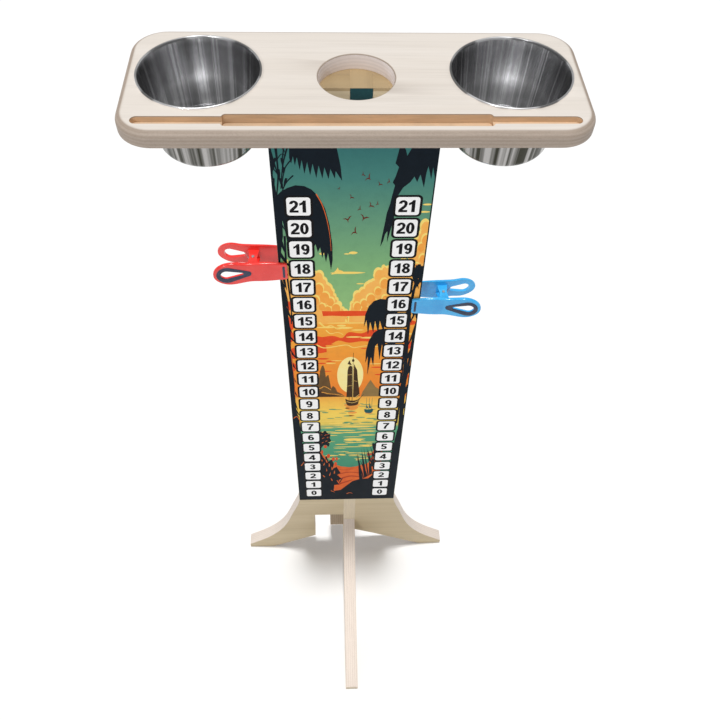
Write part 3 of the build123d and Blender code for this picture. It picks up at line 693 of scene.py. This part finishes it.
def puffs(outline, rx, rz, dx, dz, seed, shrink=1.0):
    r = random.Random(seed)
    out = [[(x + dx, z + dz) for x, z in outline]]
    for i, ((x0, z0), (x1, z1)) in enumerate(zip(outline[2:-2], outline[3:-1])):
        k = r.choice((0.75, 1.0, 1.35, 1.7)) * shrink
        t = r.uniform(0.3, 0.7)
        out.append(ellipse(x0 + (x1 - x0) * t + dx, z0 + (z1 - z0) * t + dz - k * 0.8, rx * k, rz * k, 24))
    return out


def billows(anchors, rx, rz, dx, dz, seed, shrink=1.0):
    """Rounded masses inside a cloud, each with its own lit crown."""
    r = random.Random(seed)
    out = []
    for x, z in anchors:
        k = r.uniform(0.8, 1.3) * shrink
        out.append(ellipse(x + dx, z + dz, rx * k, rz * k, 26))
    return out


in_l = [(-33, 668), (-27, 655), (-37, 650), (-21, 648), (-30, 640), (-15, 637), (-24, 634)]
in_r = [(6, 640), (13, 645), (20, 652), (27, 664), (33, 676), (25, 644), (35, 652), (14, 634), (66, 728), (70, 738), (64, 700), (69, 712), (66, 680)]
prisms("print_cloud_crowns", puffs(cloud_l, 2.7, 4.8, 0, 0, 2) + puffs(cloud_r, 2.7, 4.8, 0, 0, 3), 2, vinyl("ink_crown", lin(255, 228, 128), lin(254, 218, 110)))
prisms("print_cloud_bodies", puffs(cloud_l, 2.7, 4.8, -1.2, -3.4, 2, 0.94) + puffs(cloud_r, 2.7, 4.8, 1.2, -3.4, 3, 0.94), 3, vinyl("ink_body", lin(253, 190, 98), lin(251, 178, 82)))
prisms("print_cloud_inner", billows(in_l, 4.2, 7.0, 0, 0, 6) + billows(in_r, 4.2, 7.0, 0, 0, 7), 4, bpy.data.materials["ink_crown"])
prisms("print_cloud_shade", billows(in_l, 4.2, 7.2, -0.9, -2.6, 6, 0.97) + billows(in_r, 4.2, 7.2, 0.9, -2.6, 7, 0.97), 5, vinyl("ink_shade", lin(250, 172, 78), lin(248, 160, 64)))

# thin pale cloud bars and curls
def lens(x, z, half, th, skew=0.0):
    return smooth([(x - half, z - skew), (x - half * 0.5, z + th * 0.45), (x + half * 0.1, z + th * 0.5), (x + half * 0.7, z + th * 0.3), (x + half, z + skew), (x + half * 0.4, z - th * 0.5), (x - half * 0.6, z - th * 0.45)], 4, True)
pale = [lens(-4, 690.5, 17.5, 3.2), lens(-13, 692, 4.5, 5), [(-20.5, 689), (-17, 692), (-14, 698.5), (-12.6, 693), (-10, 690), (-20.5, 688)], lens(1, 719, 4.2, 3.6), lens(-5, 717.5, 3, 1.6), lens(-29, 718, 3.2, 3),
        lens(9, 674, 4, 1.8), lens(-4, 610.5, 22, 1.8), lens(24, 607, 9, 1.8), lens(-26, 603, 12, 2.4), lens(22, 584, 11, 3.0), lens(4, 585.5, 9, 2.4),
        ribbon([(-38, 572), (-30, 566), (-18, 568), (-4, 571), (4, 566), (18, 569), (34, 567)], 1.8, 1.0), ribbon([(-34, 612), (-28, 604), (-21, 606), (-14, 600), (-6, 603)], 2.4, 0.8),
        lens(-6, 602, 9, 3.4), lens(-10, 606, 5, 3.0), lens(8, 598, 7, 2.4),
        ribbon([(-27, 598), (-22, 592), (-14, 594), (-8, 590)], 1.6, 0.6), lens(-22, 536, 6, 2), lens(-15, 541, 7, 1.4), lens(31, 534, 8, 1.6), lens(66, 590, 6, 2.4), lens(65, 552, 6, 2), lens(66, 530, 5, 2), lens(66, 772, 5, 2.0), lens(68, 781, 4.5, 2.0)]
prisms("print_cloud_bars", pale, 7, vinyl("ink_pale", lin(255, 224, 124), lin(253, 212, 104)))

# red bands of evening cloud
red = [[(-31, 631), (-20, 630.5), (-2, 631), (18, 630.5), (40, 631), (40, 623.5), (18, 622.5), (-6, 622), (-20, 623), (-30, 622.5)],
       smooth([(-40, 588), (-31.5, 586), (-19.5, 588), (-9, 584), (-2, 594), (12.6, 592), (23.6, 598), (40, 594), (40, 579), (28, 576), (13, 577.5), (-1.3, 575), (-13.5, 579), (-24.8, 571), (-40, 573)], 4, True),
       [(-41, 577), (-30.5, 575), (-26.8, 568), (-26.6, 558), (-32.7, 556), (-41, 555)], lens(-24, 572, 5, 1.6), lens(-31, 545, 7, 3), lens(-22, 540, 6, 2), lens(-33, 536, 6, 2.4), lens(33, 527, 8, 2.4), lens(20, 564, 8, 1.6),
       lens(-29, 520, 8, 2.0), lens(36, 512, 6, 2.4), lens(66, 570, 6, 14), lens(66, 610, 6, 8), lens(67, 508, 5, 9),
       lens(-66, 610, 5, 22), lens(-67, 588, 5, 20), lens(-64, 556, 4, 20), lens(-66, 530, 4, 16), lens(-65, 640, 4, 14)]
prisms("print_red_bands", red, 6, vinyl("ink_red", lin(238, 84, 36), lin(226, 70, 30)))

# low sun
prisms("print_sun", [ellipse(0.9, 511, 15.6, 37, 56)], 7.5, vinyl("ink_sun", lin(255, 240, 168), lin(254, 232, 146)))

# far hills and rocks
hill = [[(-46, 464), (-46, 500), (-38, 498), (-36.5, 506), (-34.6, 522), (-32.6, 531), (-31, 532), (-29.4, 524), (-28.2, 508), (-26.8, 511), (-25.0, 512), (-23.6, 498), (-22, 483), (-19.8, 489), (-17, 485), (-14.5, 476), (-9, 471), (-3, 464)]]
hill_r = [[(14.5, 464), (17, 477), (19.6, 484), (22.8, 494), (25.6, 501), (29, 493), (32.5, 485), (37, 481), (44, 486), (44, 464)]]
rock = [smooth([(-46, 463), (-46, 482), (-40, 474), (-34, 480), (-28, 470), (-20, 471), (-13, 466), (-6, 464)], 4) + [(-6, 463)]]
prisms("print_hill_left", hill, 8, vinyl("ink_hill_l", lin(112, 84, 48), lin(98, 72, 42)))
prisms("print_hill_right", hill_r, 8, vinyl("ink_hill_r", lin(150, 122, 72), lin(138, 112, 68)))
prisms("print_rock", rock, 8.5, vinyl("ink_rock", lin(74, 52, 34), lin(60, 42, 30)))
prisms("print_rock_glow", [ribbon([(-44, 487), (-36, 484), (-30, 488), (-22, 480)], 1.6, 0.8), ribbon([(-34, 476), (-24, 472), (-14, 470), (-5, 466)], 1.4, 0.7)], 9, vinyl("ink_glow", lin(250, 170, 70)))

# sea
sea_ramp = [(0.0, lin(40, 104, 96)), (0.30, lin(62, 138, 112)), (0.58, lin(84, 160, 122)), (0.745, lin(96, 168, 126)), (0.775, lin(236, 206, 96)), (0.86, lin(252, 216, 98)), (0.95, lin(250, 196, 84)), (1.0, lin(247, 176, 74))]
prisms("print_sea", [[(-72.4, 178.1), (72.4, 178.1), (72.4, 465), (-72.4, 465)]], 10, vinyl("ink_sea", (0, 0, 0), ramp=(0.178, 0.465, sea_ramp)))
r = random.Random(21)
glints, greens = [], []
for i in range(46):
    z = r.uniform(300, 404)
    half = r.uniform(4, 15) * (0.6 + (z - 290) / 200)
    glints.append(lens(r.uniform(-30, 32), z, half, r.uniform(1.0, 3.0)))
for x, z, half, th in ((8, 360, 14, 6), (0, 402, 26, 5), (12, 393, 22, 4), (-20, 408, 16, 3), (26, 410, 14, 3), (-4, 384, 14, 2.6), (20, 352, 16, 2), (2, 340, 22, 1.8)):
    glints.append(lens(x, z, half, th))
for i in range(30):
    z = r.uniform(400, 452)
    greens.append(lens(r.uniform(-36, 38), z, r.uniform(2.5, 9), r.uniform(0.8, 2.2) * (1.6 - (z - 400) / 60)))
prisms("print_glints", glints, 11, vinyl("ink_glint", lin(250, 218, 110), lin(246, 208, 98)))
prisms("print_ripples", greens, 12, vinyl("ink_ripple", lin(104, 160, 112), lin(88, 148, 108)))
prisms("print_ship_glow", [lens(4, 440, 8, 12), lens(5, 428, 6, 5), lens(4, 421, 4, 3), lens(-1, 446, 5, 6), lens(9, 446, 5, 6), lens(26, 426, 5, 3)], 12, vinyl("ink_ship_glow", lin(244, 160, 72)))

# a plain two-masted sailing boat and a far boat
hull = [smooth([(-4.5, 460), (-1, 457), (6, 456), (12, 459), (15, 464), (12.5, 456), (11, 447), (4, 444), (-2, 446)], 4, True)]
sails = [[(-3.2, 464), (-2.6, 492), (-2.4, 520), (-1.2, 529), (1.8, 531), (3.2, 528), (3.6, 464)],
         [(4.6, 464), (4.9, 505), (5.2, 534), (6.6, 529), (9.0, 522), (10.4, 500), (12.0, 484), (13.2, 468), (9, 463)],
         [(-2.6, 534), (-0.6, 541), (1.0, 536), (2.6, 532)], ribbon([(3.9, 456), (4.0, 556)], 0.8, 0.4), ribbon([(0.2, 456), (0.2, 542)], 0.7, 0.4),
         ribbon([(12, 458), (18, 470)], 0.9, 0.4), ellipse(4.0, 541, 1.5, 2.8, 14)]
prisms("print_boat", hull + sails, 13, vinyl("ink_boat", lin(72, 50, 26), lin(58, 40, 22)))
prisms("print_boat_seams", [ribbon([(4.6, 464), (4.8, 500), (4.7, 530)], 0.7, 0.4), ribbon([(-2.8, 488), (3.4, 490)], 0.6), ribbon([(-2.4, 512), (3.2, 513)], 0.6), ribbon([(5.2, 500), (9.8, 498)], 0.6), ribbon([(-3, 454), (5, 451), (12, 456)], 0.9), ribbon([(7, 462), (12.8, 470)], 0.8)], 14, vinyl("ink_boat_seam", lin(236, 196, 110)))
prisms("print_far_boat", [smooth([(20, 436), (24, 434), (31, 436), (30, 428), (26, 426), (21, 428)], 4, True)] + [ribbon([(x, 434), (x + 0.3, 462)], 0.5, 0.3) for x in (22, 25.5, 29)] + [[(22.4, 438), (22.6, 446), (25, 438)], [(26, 438), (26.2, 450), (28.6, 438)]], 13, vinyl("ink_far_boat", lin(28, 92, 96)))

# shore
shore = [[(-46, 336), (-40, 334), (-34.4, 319), (-27, 301), (-19, 291), (-9, 284), (2.7, 281), (12, 283), (19, 287), (27, 290), (31, 296), (35, 318), (48, 326), (48, 236), (3, 226), (-9.5, 200), (-22, 200), (-46, 230)]]
prisms("print_shore", shore, 13, vinyl("ink_shore", lin(226, 108, 48), lin(210, 90, 42)))
prisms("print_shore_lines", [ribbon([(-12, 262), (4, 266), (18, 264), (30, 270)], 3.0, 1.2), ribbon([(-10, 246), (4, 254), (18, 252), (28, 256)], 4, 1.5), ribbon([(-14, 228), (-2, 236), (8, 242)], 5, 2), ribbon([(-18, 278), (-6, 274), (8, 276)], 1.6, 0.6)], 14, vinyl("ink_shore_d", lin(188, 70, 38), lin(166, 56, 34)))

# orange and red glow between the dark leaves
embers = []
r = random.Random(5)
for i in range(26):
    x = r.choice((-1, 1)) * r.uniform(28, 40) if i % 2 else r.uniform(-30, -14)
    z = r.uniform(282, 382) if abs(x) > 28 else r.uniform(270, 318)
    embers.append(ellipse(x, z, r.uniform(1.2, 2.6), r.uniform(2.5, 6), 12))
prisms("print_embers", embers, 14, vinyl("ink_ember", lin(226, 84, 40), lin(200, 64, 36)))

# ---- dark foreground: palms, trunks, bushes, ground
D = []
# frond crown, upper left, and the arching frond below it
D.append([(-54, 869), (-55.5, 834), (-54.1, 828), (-52.3, 836), (-51, 826), (-49, 835), (-47.1, 821), (-45, 832), (-43.1, 817), (-40.4, 830), (-38.2, 815), (-35.8, 828), (-32.9, 812), (-30.7, 826), (-27.6, 811.5), (-25.7, 824), (-22.3, 811), (-20.5, 822), (-16.7, 811.5), (-16, 820), (-10.4, 809), (-11.6, 824), (-13.6, 836), (-15.8, 848), (-18, 869)])
D.append([(-72.4, 784), (-69.5, 791), (-65, 796.5), (-58.8, 801), (-51.6, 803.9), (-43.8, 803), (-37.4, 799), (-30.9, 790), (-25.6, 776), (-21.8, 756), (-19.3, 730), (-19.1, 709), (-20.8, 694.6), (-22.1, 706), (-23.6, 719), (-25.7, 706), (-27.6, 720), (-29.3, 712), (-31.1, 727), (-33.4, 720), (-35.5, 731), (-37.9, 725), (-40, 716), (-61, 716), (-63, 742), (-65, 760), (-68, 772)])
# twigs against the sky down the left edge
for pts, w in (([(-69, 869), (-66.5, 842), (-66, 816), (-69, 790)], 1.9), ([(-55, 850), (-61, 828), (-64.5, 800)], 1.5), ([(-54, 832), (-60, 822), (-63.5, 803)], 1.2), ([(-71, 842), (-67, 820), (-63, 800)], 1.5),
               ([(-53, 815), (-60, 806), (-66, 790)], 1.3), ([(-60, 869), (-59, 850), (-62, 830)], 1.6), ([(-66, 832), (-62, 838), (-58, 836)], 0.9), ([(-66, 816), (-70, 824), (-72, 836)], 1.0)):
    D.append(ribbon(pts, w, w * 0.6))
r = random.Random(9)
for x, z in ((-66, 846), (-67, 834), (-65, 822), (-62, 834), (-60, 824), (-64, 812), (-59, 812), (-69, 828), (-70, 812), (-62, 848), (-70, 856), (-64, 860), (-58, 858)):
    D.append(blade(x, z, r.uniform(-4.5, 4.5), -r.uniform(8, 16), r.uniform(1.6, 2.6), r.uniform(-0.15, 0.15)))
D.append([(-72.4, 869), (-70.5, 869), (-70.8, 850), (-69.6, 832), (-70.6, 815), (-69.0, 796), (-67, 780), (-65.5, 764), (-66, 742), (-68.4, 726), (-69.6, 716), (-70.6, 706), (-68.8, 692), (-70.4, 681), (-68.0, 671), (-69.0, 658), (-68.0, 645), (-66.8, 617), (-65.6, 594), (-67, 570), (-66.4, 545), (-66.4, 505), (-66.6, 447), (-66, 380), (-64, 330), (-61, 300), (-61, 178.1), (-72.4, 178.1)])
for i in range(15):
    z = 770 - i * 25
    D.append(blade(-70.5, z, r.uniform(4.5, 9.0), -r.uniform(20, 40), r.uniform(2.4, 3.8), r.uniform(-0.05, 0.14)))
D.append(ribbon([(-64.5, 742), (-65, 690), (-63.2, 640), (-64.4, 610)], 2.2, 1.2))
# leaning frond, upper right
D.append([(54.4, 869), (49.2, 846), (45.2, 836), (43.6, 842), (41.5, 846), (38.4, 846), (35.6, 828), (38.9, 824), (36.6, 813.6), (34.4, 807), (36.6, 803.5), (34.9, 792.7), (33.5, 781.8), (31.1, 770.8), (29.5, 754), (28.1, 742), (26.9, 727), (29.4, 735), (30.8, 744), (32.9, 748), (33.2, 733), (35.2, 746), (36.6, 755.5), (38.3, 759), (37.9, 771), (39.2, 790), (44, 801), (50.1, 807.4), (53.1, 813.6), (56, 807.4), (58.2, 815.9), (62.5, 801), (63.3, 818), (64.4, 825), (68.1, 810.5), (68.6, 824), (71.2, 812), (72.4, 828), (72.4, 869)])
# two palms on the right
D.append([(50, 640), (37.8, 649), (30.7, 650), (23.8, 646.5), (18.8, 638), (15.5, 624), (14.6, 603), (17.1, 615), (19.5, 589), (21.2, 612), (25.3, 593), (26.5, 614), (30.8, 591), (31.6, 614), (36.7, 593), (37.3, 617), (50, 600)])
D.append([(50, 596), (38.2, 600), (30.9, 598.5), (25.3, 592), (20.6, 577), (18.2, 559), (18.2, 536), (20.7, 549), (21.3, 512), (24.4, 548), (27.6, 530), (28.3, 568), (30.9, 573), (34.5, 542), (36, 572), (39.9, 551), (39.6, 576), (52, 560)])
D += frond([(62, 690), (66, 700), (71, 694), (74, 670)], 8, 40, 3.6, 0.02, 41, 0.7)
D += frond([(60, 626), (65, 638), (70, 632), (74, 612)], 8, 30, 3.2, 0.0, 43, 0.7)
D.append(ribbon([(67, 690), (63.5, 640), (64, 580), (66.5, 500), (67.5, 440), (69, 380)], 2.4, 6.0))
D.append(ribbon([(71, 600), (69.5, 540), (67, 470), (70, 400)], 2.4, 4.0))
D.append(ribbon([(62.6, 600), (62, 540), (64, 470), (63, 400)], 1.6, 2.4))
for i in range(8):
    D.append(blade(72.5, 690 - i * 40, -r.uniform(4, 9), -r.uniform(26, 46), r.uniform(3.0, 4.6), -0.08))
# ground and undergrowth
D.append([(-72.4, 178.1), (72.4, 178.1), (72.4, 428), (68, 404), (65, 380), (61.5, 330), (61, 262), (39.7, 262), (36.6, 256), (31, 246), (17.1, 243.4), (8, 238), (-2, 222), (-9.5, 210), (-19.6, 207), (-22, 226), (-61, 226), (-61, 330), (-64, 420), (-72.4, 452)])
D.append([(-61, 178.1), (-61, 322), (-50.4, 330), (-45.5, 326), (-41, 315), (-37.2, 322), (-33.6, 309), (-29.4, 315), (-27, 299), (-22.3, 305), (-19.4, 291), (-21.4, 277), (-15.6, 283), (-9.7, 264), (-14.6, 258), (-7.7, 245), (-15.6, 241), (-11.6, 228), (-19, 226), (-19.6, 212), (-26, 178.1)])
r = random.Random(15)
for i in range(24):
    x0, z0 = -40 + i * 1.25, 322 - i * 3.6
    a = math.radians(r.uniform(35, 120))
    ln = r.uniform(12, 26)
    D.append(blade(x0, z0 - 6, ln * math.cos(a) * 0.55, ln * math.sin(a), r.uniform(1.4, 2.4), r.uniform(-0.15, 0.15)))
for i in range(11):
    D.append(blade(19 + i * 1.7, 240 + i * 2, r.uniform(-10, -1), r.uniform(42, 92), r.uniform(1.5, 2.5), r.uniform(-0.04, 0.08)))
for i in range(7):
    D.append(blade(34 + i * 0.8, 282, r.uniform(-6, 3), r.uniform(26, 62), r.uniform(1.8, 2.8), r.uniform(-0.1, 0.1)))
D.append(smooth([(-45, 374), (-39.8, 382), (-34.4, 379), (-30.8, 384), (-27.3, 377), (-23.7, 373), (-24.7, 365), (-22.9, 356), (-27.5, 352), (-27, 345), (-32.2, 346), (-35.9, 339), (-38.6, 330), (-36, 310), (-45, 310)], 3, True))
for i in range(14):
    D.append(ellipse(-34 + r.uniform(-6, 9), 362 + r.uniform(-20, 20), r.uniform(1.0, 1.9), r.uniform(2.0, 3.8), 10))
D.append(smooth([(44, 352), (38, 350), (34, 340), (36, 326), (34, 312), (38, 300), (46, 296)], 3, True))
for i in range(8):
    D.append(ellipse(37 + r.uniform(-3, 3), 330 + r.uniform(-22, 18), r.uniform(1.0, 1.9), r.uniform(2.0, 3.6), 10))
# thin printed border down both edges
D.append([(-72.4, 178.1), (-71.2, 178.1), (-71.2, 869.9), (-72.4, 869.9)])
D.append([(71.2, 178.1), (72.4, 178.1), (72.4, 869.9), (71.2, 869.9)])
prisms("print_dark_leaves", D, 15, vinyl("ink_navy", navy, tuple(c * 0.75 for c in navy)))

# rim light on leaves, twigs, and the birds
accents = [ribbon([(-33.5, 794), (-28.6, 782), (-24.4, 764), (-21.6, 742), (-20.6, 722)], 1.0, 0.3), ribbon([(-71, 416), (-66, 420), (-62, 404)], 1.4, 0.6), ribbon([(-66, 288), (-61, 300)], 1.2, 0.4),
           ribbon([(-24, 208), (-18, 202)], 1.4, 0.5), ribbon([(60, 560), (62.4, 500), (61.5, 452)], 0.9, 0.4), ribbon([(-67.5, 560), (-66, 500), (-67, 470)], 0.8, 0.3), ribbon([(0, 196), (4, 200), (9, 197)], 1.6, 0.5)]
r = random.Random(33)
for x, z in ((-30, 372), (-27, 366), (-33, 364), (-29, 356), (-34, 352), (-26, 374), (-36, 372)):
    accents.append(ribbon([(x - 1.4, z - 1), (x, z + 1.6), (x + 1.6, z + 0.6)], 0.9, 0.3))
for x, z in ((-32, 306), (-29, 296), (-34, 288), (-26, 284), (-22, 274), (-30, 270), (-36, 300), (-19, 262), (-26, 256), (-33, 252), (-22, 240), (35, 322), (38, 314), (36, 304), (33, 292), (38, 288)):
    accents.append(blade(x, z, r.uniform(-3, 3), r.uniform(7, 15), r.uniform(0.9, 1.5), 0.1))
prisms("print_leaf_light", accents, 16, vinyl("ink_rim", lin(232, 118, 50), lin(214, 92, 42)))
birds = []
for x, z, s, a in ((-5, 763, 4.2, 0.2), (10, 765, 4.6, -0.5), (6, 776, 2.6, 0.9), (16, 780, 3.4, -0.9), (-2, 790, 2.8, -0.8), (2, 747, 4.4, 0.9), (13, 812, 3.6, 0.8), (23, 805, 2.6, -0.7), (31, 808, 2.4, 1.1), (8, 816, 2.4, -1.1), (22, 782, 2.2, 1.0), (-13, 800, 1.6, 0.5)):
    c, sn = math.cos(a), math.sin(a)
    def T(u, v):
        return (x + s * (u * c - v * sn), z + 1.5 * s * (u * sn + v * c))
    birds.append([T(-1.0, 0.25), T(-0.35, 0.32), T(0, 0.02), T(0.4, 0.42), T(1.0, 0.55), T(0.5, 0.18), T(0.12, -0.22), T(0.05, -0.7), T(-0.1, -0.2), T(-0.4, 0.12)])
prisms("print_birds", birds, 16, vinyl("ink_bird", lin(104, 38, 30)))

# ---- the two score columns, 21 down to 0
def rounded(cx, cz, w, h, rad, n=5):
    out = []
    for sx, sz, a0 in ((1, 1, 0), (-1, 1, 90), (-1, -1, 180), (1, -1, 270)):
        for k in range(n + 1):
            a = math.radians(a0 + 90 * k / n)
            out.append((cx + sx * (w / 2 - rad) + rad * math.cos(a), cz + sz * (h / 2 - rad) + rad * math.sin(a)))
    return out


TILE = 21.8
COLS = (-49.8, 49.8)
frames, tiles = [], []
for col in COLS:
    for n in range(22):
        z = ROW0 + PITCH_Z * n
        frames.append(rounded(col, z, TILE + 4.6, TILE + 4.6, 4.6))
        tiles.append(rounded(col, z, TILE, TILE, 2.9))
prisms("print_tile_frames", frames, 17, vinyl("ink_black", (0.006, 0.006, 0.007), (0.004, 0.004, 0.005)))
prisms("print_tiles", tiles, 18, vinyl("ink_white", (0.985, 0.985, 0.985), (0.97, 0.97, 0.97)))


def arc(cx, cz, rx, rz, a0, a1, sx, sz, n=14):
    """Part of a ring whose stroke is sx wide at its sides and sz at top and foot."""
    out = []
    for k in range(n + 1):
        a = math.radians(a0 + (a1 - a0) * k / n)
        out.append((cx + rx * math.cos(a), cz + rz * math.sin(a)))
    for k in range(n, -1, -1):
        a = math.radians(a0 + (a1 - a0) * k / n)
        out.append((cx + (rx - sx - 0.2) * math.cos(a), cz + (rz - sz - 0.15) * math.sin(a)))
    return out


def rect(x0, z0, x1, z1):
    return [(x0, z0), (x1, z0), (x1, z1), (x0, z1)]


def turned(polys):
    return [[(-x, -z) for x, z in p] for p in polys]


SIX = [arc(0.0, -2.7, 4.2, 4.9, 0, 180, 2.9, 2.6), arc(0.0, -2.7, 4.2, 4.9, 180, 360, 2.9, 2.6), arc(0.0, 0.0, 4.2, 7.6, 42, 198, 2.9, 2.6)]
DIGITS = {
    "0": [arc(0, 0, 4.2, 7.6, -90, 90, 3.0, 2.7), arc(0, 0, 4.2, 7.6, 90, 270, 3.0, 2.7)],
    "1": [[(2.7, 7.6), (0.3, 7.6), (-0.7, 5.9), (-2.0, 4.7), (-3.5, 4.0), (-3.5, 1.1), (-1.9, 1.7), (-0.7, 2.5), (-0.7, -7.6), (2.7, -7.6)]],
    "2": [arc(0, 3.2, 4.2, 4.4, -25, 180, 2.9, 2.6), [(3.85, 1.6), (1.25, 2.3), (0.4, 0.6), (-1.6, -1.4), (-3.5, -3.6), (-4.3, -5.6), (-4.3, -7.6), (-0.6, -5.0), (1.4, -2.9), (3.2, -0.6)], rect(-4.3, -7.6, 4.3, -4.8)],
    "3": [arc(-0.1, 3.7, 4.0, 3.9, -75, 168, 2.9, 2.5), arc(-0.1, -3.2, 4.3, 4.4, -170, 80, 3.0, 2.6), rect(-1.5, -0.9, 1.4, 1.5)],
    "4": [rect(0.6, -7.6, 3.6, 7.6), rect(-4.8, -4.7, 5.0, -2.0), [(0.7, 7.6), (2.4, 7.6), (2.0, 3.4), (-1.5, -2.1), (-4.8, -2.1), (-4.8, -2.5)]],
    "5": [rect(-3.2, 4.8, 3.9, 7.6), [(-3.2, 7.6), (-0.5, 7.6), (-1.3, 0.3), (-4.1, -0.2)], arc(-0.1, -2.6, 4.3, 5.0, -168, 138, 3.0, 2.6)],
    "6": SIX,
    "7": [rect(-4.2, 4.8, 4.2, 7.6), [(4.2, 5.2), (4.1, 4.3), (1.7, 0.4), (0.5, -3.6), (0.3, -7.6), (-3.0, -7.6), (-2.6, -3.2), (-1.2, 0.8), (1.1, 4.9)]],
    "8": [arc(0, 3.7, 3.8, 3.9, -90, 90, 2.6, 2.4), arc(0, 3.7, 3.8, 3.9, 90, 270, 2.6, 2.4), arc(0, -3.2, 4.3, 4.4, -90, 90, 2.9, 2.6), arc(0, -3.2, 4.3, 4.4, 90, 270, 2.9, 2.6)],
    "9": turned(SIX),
}
SQUAT = 14.6 / 15.2
numerals = []
for n in range(22):
    text = str(n)
    for col in COLS:
        for i, ch in enumerate(text):
            dx = 0.0 if len(text) == 1 else (-4.3, 4.4)[i]
            if ch == "1" and len(text) == 2:
                dx += (0.5, -0.2)[i]
            for p in DIGITS[ch]:
                numerals.append([(col + dx + x * 0.97, ROW0 + PITCH_Z * n + z * SQUAT) for x, z in p])
prisms("print_numbers", numerals, 20, bpy.data.materials["ink_black"], clipped=False)

# ============================================================ stage
bm = bmesh.new()
bmesh.ops.create_grid(bm, x_segments=1, y_segments=1, size=6.0)
floor = new_object("floor", bm, None, None)
fm = Mat("studio_floor")
fm.set(Base_Color=(0.97, 0.97, 0.97, 1), Roughness=0.9, Specular_IOR_Level=0.1)
floor.data.materials.append(fm.m)

world = bpy.data.worlds.new("studio")
world.use_nodes = True
world.node_tree.nodes["Background"].inputs[0].default_value = (1.0, 1.0, 1.0, 1)
world.node_tree.nodes["Background"].inputs[1].default_value = 0.38
SC.world = world


def area(name, loc, target, size, power, col=(1, 1, 1), floor_too=True):
    L = bpy.data.lights.new(name, "AREA")
    L.shape = "RECTANGLE"
    L.size, L.size_y = size
    L.energy = power
    L.color = col
    ob = bpy.data.objects.new(name, L)
    COL.objects.link(ob)
    ob.location = loc
    d = Vector(target) - Vector(loc)
    ob.rotation_euler = d.to_track_quat("-Z", "Y").to_euler()
    return ob


sun_data = bpy.data.lights.new("top_sun", "SUN")
sun_data.energy = 2.2
sun_data.angle = math.radians(5.5)
sun = bpy.data.objects.new("top_sun", sun_data)
COL.objects.link(sun)
sun.rotation_euler = Vector((0.0, -0.06, -1.0)).to_track_quat("-Z", "Y").to_euler()
key = area("key_left", (-1.25, -2.4, 2.35), (0, 0, 0.3), (0.45, 0.45), 25)
lit = bpy.data.collections.new("key_lights_these")
for ob in list(COL.objects):
    if ob.type == "MESH" and ob.name != "floor":
        lit.objects.link(ob)
key.light_linking.receiver_collection = lit
casters = bpy.data.collections.new("sun_shadows_from_these")
for name in ("board", "leg", "block"):
    casters.objects.link(bpy.data.objects[name])
sun.light_linking.blocker_collection = casters

# ============================================================ camera
cam_data = bpy.data.cameras.new("camera")
cam = bpy.data.objects.new("camera", cam_data)
COL.objects.link(cam)
F_PX, PITCH, YAW, ROLL = 762.42, math.radians(53.7648), math.radians(3.7371), math.radians(2.3401)
CAM_AT = Vector((-22.3, -532.1, 1256.7)) * MM
cp, sp, cy, sy = math.cos(PITCH), math.sin(PITCH), math.cos(YAW), math.sin(YAW)
fwd = Vector((sy * cp, cy * cp, -sp))
rgt = Vector((cy, -sy, 0.0))
up0 = rgt.cross(fwd)
rr = rgt * math.cos(ROLL) + up0 * math.sin(ROLL)
uu = -rgt * math.sin(ROLL) + up0 * math.cos(ROLL)
cam.matrix_world = Matrix((
    (rr.x, uu.x, -fwd.x, CAM_AT.x),
    (rr.y, uu.y, -fwd.y, CAM_AT.y),
    (rr.z, uu.z, -fwd.z, CAM_AT.z),
    (0, 0, 0, 1),
))
cam_data.sensor_width = 36.0
cam_data.lens = F_PX / 720.0 * 36.0
cam_data.clip_start = 0.01
SC.camera = cam

SC.view_settings.view_transform = "Standard"

bpy.context.view_layer.update()
